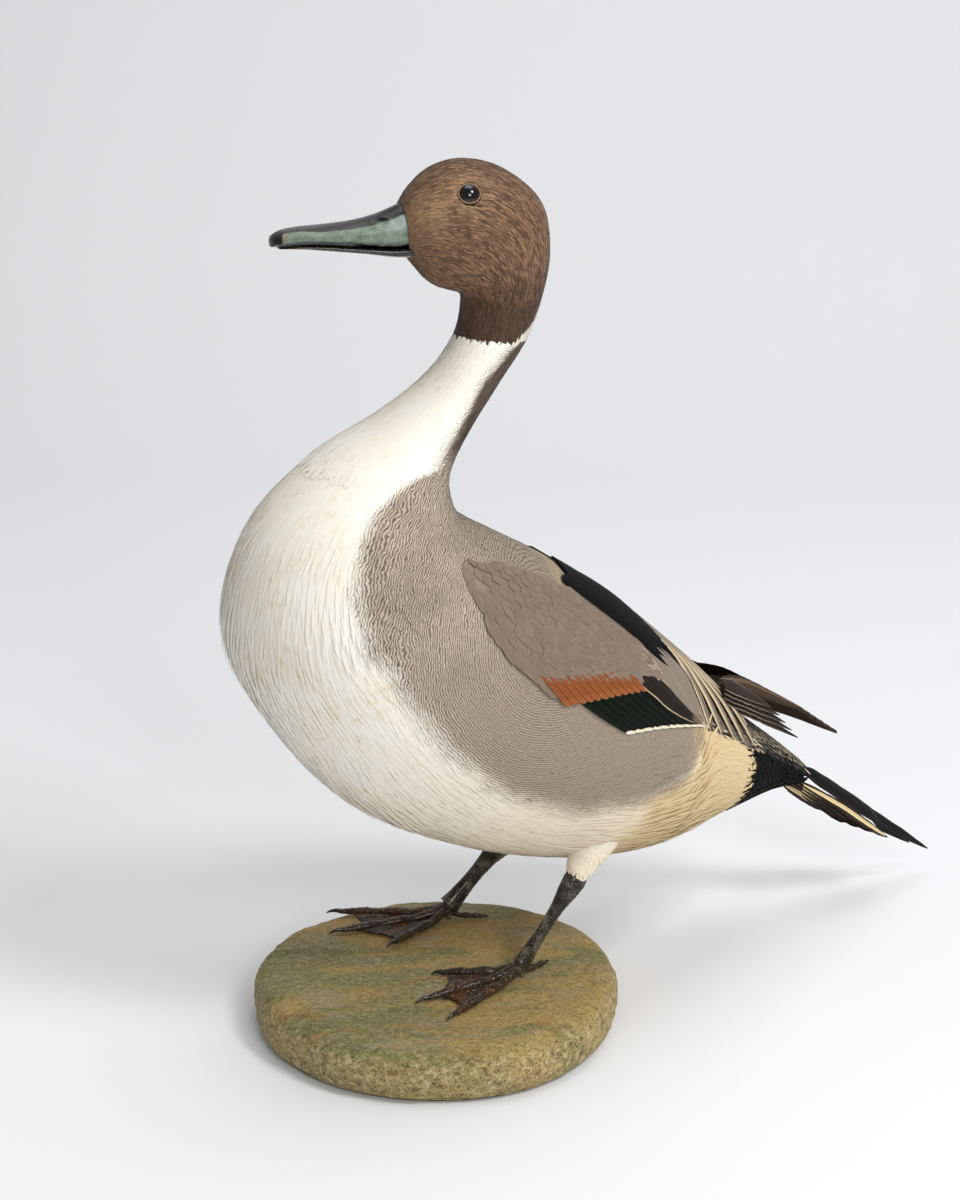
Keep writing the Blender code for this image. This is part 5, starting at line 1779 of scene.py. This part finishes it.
@dataclass
class Eyes:
    """Glass eyes and the thin pale lids round them."""

    lid_radius: float = 4.05
    lid_thickness: float = 0.3

    def build(self, eyes: Sequence[tuple[np.ndarray, np.ndarray]]) -> None:
        """Builds both eyes and lids."""
        for (side, _), (centre, out) in zip(SIDES, eyes):
            low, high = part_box(side + "_eye")
            radius = (high.x - low.x) / 2 / MM
            flat = unit(np.cross(out, (0, 0, 1)))
            rise = np.cross(flat, out)
            angle = np.linspace(0, 2 * np.pi, 48, endpoint=False)
            ring = np.cos(angle)[:, None] * flat + np.sin(angle)[:, None] * rise
            polar = np.linspace(0.02, np.pi - 0.02, 32)
            ball = (centre + radius * (np.cos(polar)[:, None, None] * out
                                       + np.sin(polar)[:, None, None] * ring[None]))
            reach = np.broadcast_to(radius * np.sin(polar)[:, None], ball.shape[:2])
            place = np.stack([reach, reach * 0, reach * 0], axis=-1)
            install(loft(ball, place=place).object(side + "_glass_eye", Glass("clear_glass")),
                    Slot.GLASS, side + "_eye")
            turn = np.linspace(0, 2 * np.pi, 12, endpoint=False)
            depth = math.sqrt(radius**2 - self.lid_radius**2) + 0.15
            squash = 1 + 0.06 * np.cos(2 * angle)
            middle = centre + out * depth + ring * (self.lid_radius * squash)[:, None]
            lid = (
                middle[:, None, :] + self.lid_thickness
                * (np.cos(turn)[None, :, None] * ring[:, None, :] + 0.9 * np.sin(turn)[None, :,
                None] * out))
            finish = Grain("eyelid", light=srgb(164, 132, 100), dark=srgb(110, 84, 62),
                           stretch=(1, 1, 1), scale=2.0, relief=0.1)
            install(loft(lid, caps=False).object(side + "_eyelid", finish), Slot.HOOD)


# Legs

@dataclass
class Leg:
    """One leg: shank, webbed foot with claws, hind toe and the tuft on the thigh."""

    side: str
    sign: int
    joint: tuple[float, float, float]
    ankle: tuple[float, float, float]
    hip: tuple[float, float, float]
    heading: float
    coat: FeatherCoat
    toes: tuple[tuple[float, float], ...] = ((31.0, 39.0), (0.0, 52.0), (-22.5, 52.0))
    floor: float = 22.35
    shank: tuple[float, ...] = (3.4, 2.7, 2.3, 2.3, 2.7, 3.9, 4.5, 4.0)
    grow: float = 1.0

    def direction(self, offset: float) -> np.ndarray:
        """Level direction of a toe."""
        angle = math.radians(self.heading + offset)
        return np.array((math.cos(angle), math.sin(angle), 0.0))

    def rod(self, path: np.ndarray, radii: np.ndarray, flat: float, up: tuple, kind: float,
            sides: int = 20, scutes: float = 0.0) -> Solid:
        """A rounded rod along a path.

        Args:
            path: Its middle line.
            radii: Its half width at each point.
            flat: Its height as a share of its width.
            up: The direction that is its top.
            kind: How brown the skin is.
            sides: Points round it.
            scutes: Height of the plates across its top.

        Returns:
            The rod.
        """
        side, top = sides_of(path, up)
        angle = np.linspace(0, 2 * np.pi, sides, endpoint=False)
        ridge = 1 + scutes * (np.arange(len(path)) % 3 == 0)[:, None] * np.clip(
            np.sin(angle)[None, :], 0, 1)
        size = radii[:, None] * ridge
        rings = rings_along(path, side, top, size * np.cos(angle), size * flat * np.sin(angle))
        rings[..., 2] = np.maximum(rings[..., 2], self.floor - 0.05)
        place = np.zeros_like(rings)
        place[..., 0] = kind
        return loft(rings, place=place)

    def toe(self, offset: float, length: float, radius: float = 2.3) -> tuple[Solid, Solid]:
        """A toe with its knuckles, and its curved claw."""
        ahead = self.direction(offset)
        share = np.linspace(0.0, 0.86, 44)
        knots = np.interp(share, (0, 0.1, 0.3, 0.4, 0.55, 0.66, 0.78, 0.86),
                          (1.2, 1.05, 0.82, 1.0, 0.75, 0.92, 0.72, 0.55))
        radii = radius * knots
        start = np.array(self.joint)
        path = start + ahead * (share * length)[:, None]
        arch = np.interp(share, (0, 0.12, 0.3, 0.5, 0.62, 0.86), (4.0, 2.4, 0.6, 0.7, 0.3, 0.5))
        path[:, 2] = self.floor + radii * 0.78 + arch * radius / 2.3 * 0.8
        toe = self.rod(path, radii, 0.85, (0, 0, 1), 0.25, scutes=0.13)
        claw_share = np.linspace(0, 1, 14)
        claw = path[-1] + ahead * (claw_share * length * 0.13)[:, None]
        claw[:, 2] += radius * (0.35 * np.sin(claw_share * 2.2) - 0.75 * claw_share**2)
        claw[:, 2] = np.maximum(claw[:, 2], self.floor + 0.4)
        nail = self.rod(claw, radii[-1] * 0.85 * (1 - claw_share) ** 0.6 + 0.08, 1.0,
                        (0, 0, 1), 0.0, sides=12)
        return toe, nail

    def web(self, first: tuple[float, float], second: tuple[float, float]) -> Solid:
        """The web between two toes, creased along its length and scalloped in front."""
        rows = 22
        columns = 15
        share = np.linspace(0.12, 1, rows)[:, None]
        across = np.linspace(0, 1, columns)[None, :]
        turn = (first[0] + (second[0] - first[0]) * across) * self.sign
        angle = np.radians(self.heading + turn)
        edge = (first[1] * (1 - across) + second[1] * across) * 0.80
        edge = edge * (1 - 0.13 * np.sin(np.pi * across) + 0.02 * np.sin(across * 31 + first[1]))
        reach = share * edge
        low = self.floor + 0.5 + 1.0 * (1 - share) + 0.5 * np.abs(2 * across - 1)
        crease = 0.4 * np.sin(across * 6 * np.pi + reach * 0.12) * share
        start = self.joint
        z = low + crease + 0 * reach
        top = np.stack([start[0] + reach * np.cos(angle), start[1] + reach * np.sin(angle), z],
                       axis=-1)
        outer = Sheet(top + (0, 0, 0.5), np.zeros((rows, columns, 2)))
        inner = Sheet(top, np.zeros((rows, columns, 2)))
        solid = plate(outer, inner)
        solid.place[:, 0] = 1.0
        return solid

    def build_foot(self) -> None:
        """The front toes, webs and claws as one piece, and the hind toe."""
        solids = []
        claws = []
        for turn, length in self.toes:
            toe, claw = self.toe(self.sign * turn, length)
            solids.append(toe)
            claws.append(claw)
        for first, second in zip(self.toes, self.toes[1:]):
            solids.append(self.web(first, second))
        joint = np.array(self.joint)
        knuckle = joint + np.linspace(-2.6, 2.4, 14)[:, None] * np.array((0.1, 0, 1))
        bulge = 3.5 * np.sqrt(np.clip(1 - np.linspace(-0.95, 0.95, 14) ** 2, 0.05, 1))
        solids.append(self.rod(knuckle, bulge, 1.0, (1, 0, 0), 0.1))
        skin = LegSkin("scaly_skin")
        install(Solid.joined(solids).object(self.side + "_webbed_foot", skin), Slot.LEG,
                self.side + "_foot")
        claw = Solid.joined(claws).object(self.side + "_claws", Claw("claw_horn"))
        install(claw, Slot.LEG)
        hind, nail = self.toe(180 - self.sign * 18, 18, 1.5)
        install(Solid.joined([hind, nail]).object(self.side + "_rear_toe", skin), Slot.LEG,
                self.side + "_hind_toe")

    def build_shank(self) -> None:
        """The scaly shank, from the foot to the ankle."""
        j = np.array(self.joint, float)
        a = np.array(self.ankle, float)
        step = unit(a - j)
        path = smooth_path(
            [j, j + (a - j) * 0.3, j + (a - j) * 0.6, j + (a - j) * 0.9, a + step * 3], 64)
        radii = self.grow * np.interp(
            np.linspace(0, 1, 64), np.linspace(0, 1, len(self.shank)), self.shank)
        rod = self.rod(path, radii, 1.22, (0.9, 0.1, -0.2), 0.0, sides=28, scutes=0.05)
        install(rod.object(self.side + "_shank", LegSkin("scaly_skin")), Slot.LEG,
                self.side + "_tarsus")

    def build_thigh(self, plumage: BodyPlumage) -> None:
        """The tuft of small feathers above the ankle."""
        a = np.array(self.ankle, float)
        hip = np.array(self.hip, float)
        path = smooth_path(
            [hip + (hip - a) * 0.35, hip, a + (hip - a) * 0.45, a + (hip - a) * 0.12], 30)
        radii = np.interp(np.linspace(0, 1, 30), (0, 0.35, 0.7, 1), (16.0, 12.0, 7.4, 4.7))
        side, top = sides_of(path, (0.9, 0.1, -0.2))
        angle = np.linspace(0, 2 * np.pi, 40, endpoint=False)
        rings = rings_along(
            path, side, top, radii[:, None] * np.cos(angle), radii[:, None] * np.sin(angle))
        place = np.stack(
            np.broadcast_arrays(np.linspace(5.2, 4.4, 30)[:, None], np.degrees(angle)[None, :]),
            axis=-1)
        sheet = Sheet(rings, place.copy(), wrap=True)
        outside = np.full((30, 40, 1), -FAR_INSIDE)
        body = loft(rings, place=np.concatenate([place, outside], axis=-1))
        feathers = self.coat.lay(
            sheet, CoatSize(2.0, 5.0, 2.2, root_lift=-0.3, tip_lift=0.2, camber=0.1,
            thickness=0.06), plumage, 19)
        feathers.place[:, 2] = -FAR_INSIDE
        install(
            Solid.joined([body, feathers]).object(self.side + "_thigh_tuft", plumage, tidy=False),
            Slot.WHITE, self.side + "_thigh_feathers")

    def build(self, plumage: BodyPlumage) -> None:
        """Builds the whole leg."""
        self.build_foot()
        self.build_shank()
        self.build_thigh(plumage)


# Base and inner pieces

@dataclass
class Stand:
    """The round base: a moulded stone-finish skin over a wooden core."""

    radius: float = 77.0
    height: float = 22.0
    bottom: float = 1.55
    skin: float = 3.0
    sides: int = 288

    def outline(self, angle: np.ndarray) -> np.ndarray:
        """Radius factor of the slab, which is not quite round."""
        return (1 + 0.012 * np.cos(2 * angle + 0.5) + 0.012 * np.cos(3 * angle - 0.8)
                + 0.008 * np.cos(5 * angle + 1.1))

    def build(self) -> None:
        """Builds the skin with a worn, uneven surface."""
        r = self.radius
        h = self.height
        inner = (
            (0.4, h - self.skin), (0.5 * r - self.skin, h - self.skin), (r - 8 - self.skin, 18.6),
            (r - 3 - self.skin, 17.4), (r - 0.6 - self.skin, 15), (r - self.skin, 8),
            (r - 3 - self.skin, self.bottom))
        outer = ((r - 3, self.bottom), (r - 0.9, 4), (r, 8), (r + 0.1, 12), (r - 0.6, 16),
                 (r - 3, 20), (r - 8, 21.7), (r - 16, h), (0.72 * r, h), (0.5 * r, h),
                 (0.25 * r, h), (0.6, h))
        profile = np.concatenate([smooth_path(inner, 14), smooth_path(outer, 110)])
        angle = np.linspace(0, 2 * np.pi, self.sides, endpoint=False)
        reach = profile[:, 0][:, None] * self.outline(angle)[None, :]
        rings = np.stack([reach * np.cos(angle), reach * np.sin(angle),
                          np.broadcast_to(profile[:, 1][:, None], reach.shape)], axis=-1)
        outward = unit(rings * (1, 1, 0)) * np.clip(profile[:, 0] / r, 0, 1)[:, None, None] ** 6
        outward[..., 2] = np.clip(profile[:, 1] / h, 0, 1)[:, None] ** 8
        for row in range(14 + 4, len(profile) - 1):
            for k in range(self.sides):
                x, y, z = rings[row, k]
                rough = (1.1 * noise.noise(Vector((x, y, z)) * 0.045)
                         + 0.45 * noise.noise(Vector((x, y, z)) * 0.2)
                         + 0.22 * noise.noise(Vector((x, y, z)) * 0.6))
                rim = min(1.0, (profile[row, 0] / r) ** 8 + 0.25)
                rings[row, k] += outward[row, k] * (rough * 1.3 * rim - 0.15)
        piece = loft(rings).object("stone_base", Stone("painted_stone"))
        install(piece, Slot.STONE, "base_stone")


@dataclass
class Workshop:
    """Finishes of the pieces that keep their own meshes."""

    wood: Grain = Grain("lathe_wood", stretch=(0.9, 0.08, 0.9), light=srgb(206, 176, 132),
                        dark=srgb(160, 122, 80))
    carved: Grain = Grain("knife_cut_wood", stretch=(0.1, 0.9, 0.9), light=srgb(202, 168, 122),
                          dark=srgb(150, 112, 72))
    felt: Grain = Grain("green_felt", stretch=(1, 1, 1), scale=2.5, light=srgb(52, 74, 58),
                        dark=srgb(30, 46, 36), rough=0.95, relief=0.3)
    wool: Grain = Grain("packed_shavings", stretch=(0.25, 1.4, 1.1), scale=1.2,
                        light=srgb(204, 178, 128), dark=srgb(134, 104, 62), relief=0.6)
    tow: Grain = Grain("wound_tow", stretch=(0.2, 0.2, 2.2), scale=1.0,
                       light=srgb(206, 186, 146), dark=srgb(150, 124, 84), relief=0.5)
    wire: Grain = Grain("annealed_wire", stretch=(1, 1, 1), light=srgb(168, 166, 162),
                        dark=srgb(112, 110, 108), relief=0.02, rough=0.4, metal=1.0)

    def build(self) -> None:
        """Dresses every node that is not replaced."""
        groups = {
            self.wood: ("base_core",), self.carved: ("head_form",), self.felt: ("base_felt",),
            self.wool: ("body_form",), self.tow: ("neck_wrap",),
            self.wire: ("neck_wire", "tail_wire", "left_wing_wire", "right_wing_wire",
            "left_leg_wire", "right_leg_wire", "left_wire_nut", "right_wire_nut")}
        for finish, names in groups.items():
            for name in names:
                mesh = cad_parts[name].data
                mesh.materials.clear()
                mesh.materials.append(finish.material())
                LOG.info("%s dressed as %s", name, finish.name)


# Studio

@dataclass
class Studio:
    """Camera, pale floor that curves up behind, and soft lights."""

    azimuth: float = -30.0
    pitch: float = 17.7
    distance: float = 900.0
    height: float = 475.0
    offset: float = 18.0
    lens: float = 70.0

    def build_camera(self) -> None:
        """Places the camera."""
        turn = math.radians(self.azimuth)
        back = Vector((math.sin(turn), -math.cos(turn), 0))
        right = Vector((-back.y, back.x, 0))
        data = bpy.data.cameras.new("camera")
        data.lens = self.lens
        camera = bpy.data.objects.new("camera", data)
        camera.location = (
            back * self.distance + right * self.offset + Vector((0, 0, self.height))) * MM
        camera.rotation_euler = (math.radians(90 - self.pitch), 0, turn)
        bpy.context.scene.collection.objects.link(camera)
        bpy.context.scene.camera = camera

    def build_floor(self) -> None:
        """A level floor that curves up into a wall far behind."""
        turn = math.radians(self.azimuth)
        ahead = np.array((-math.sin(turn), math.cos(turn), 0.0))
        right = np.array((ahead[1], -ahead[0], 0.0))
        profile = [(-2500.0, 0.0), (900.0, 0.0)]
        bend = 500.0
        profile += [(900 + bend * math.sin(a), bend * (1 - math.cos(a)))
                    for a in np.linspace(0, math.pi / 2, 24)[1:]]
        profile.append((900 + bend, 3200.0))
        points = []
        for reach, rise in profile:
            for sideways in (-3500.0, 3500.0):
                points.append(ahead * reach + right * sideways + (0, 0, rise))
        faces = [(2 * k, 2 * k + 1, 2 * k + 3, 2 * k + 2) for k in range(len(profile) - 1)]
        mesh = bpy.data.meshes.new("floor")
        mesh.from_pydata(np.array(points) * MM, [], faces)
        mesh.shade_smooth()
        mesh.materials.append(Backdrop("backdrop").material())
        floor = bpy.data.objects.new("floor", mesh)
        bpy.context.scene.collection.objects.link(floor)

    def light(self, name: str, place: tuple[float, float, float], power: float,
              size: float) -> None:
        """A square area light that looks at the bird's breast."""
        data = bpy.data.lights.new(name, "AREA")
        data.energy = power
        data.size = size
        lamp = bpy.data.objects.new(name, data)
        lamp.location = place
        aim = Vector((0.05, 0.0, 0.18)) - lamp.location
        lamp.rotation_euler = aim.to_track_quat("-Z", "Y").to_euler()
        bpy.context.scene.collection.objects.link(lamp)

    def build(self) -> None:
        """Builds the whole studio."""
        self.build_camera()
        self.build_floor()
        world = bpy.data.worlds.new("studio")
        world.use_nodes = True
        world.node_tree.nodes["Background"].inputs["Color"].default_value = (1, 0.985, 0.965, 1)
        world.node_tree.nodes["Background"].inputs["Strength"].default_value = 0.34
        bpy.context.scene.world = world
        bpy.context.scene.view_settings.view_transform = "Standard"
        self.light("key", (0.5, -1.15, 1.55), 17.0, 0.5)
        self.light("front", (-0.28, -1.5, 0.9), 9.0, 0.5)
        self.light("top", (0.3, 0.2, 1.9), 12.0, 1.2)


def main() -> None:
    """Builds the studio and every piece of the bird."""
    logging.basicConfig(level=logging.INFO, format="%(message)s")
    Studio().build()
    coat = FeatherCoat()
    plumage = Plumage(coat)
    plumage.build_head()
    plumage.build_neck()
    plumage.build_body()
    for side, sign in SIDES:
        Wing(side, sign, plumage).build()
    Tail().build()
    Bill().build()
    Eyes().build(plumage.eyes())
    Leg("left", -1, (28, -23, 28.5), (53, -24, 61), (66, -23, 84), 180.0, coat).build(
        plumage.body)
    Leg("right", 1, (29, 42, 28.5), (57, 40, 56), (70, 40, 80), 168.0, coat,
        toes=((31.0, 41.0), (0.0, 56.0), (-22.5, 56.0)), grow=1.3).build(plumage.body)
    Stand().build()
    Workshop().build()


if __name__ == "__main__":
    main()
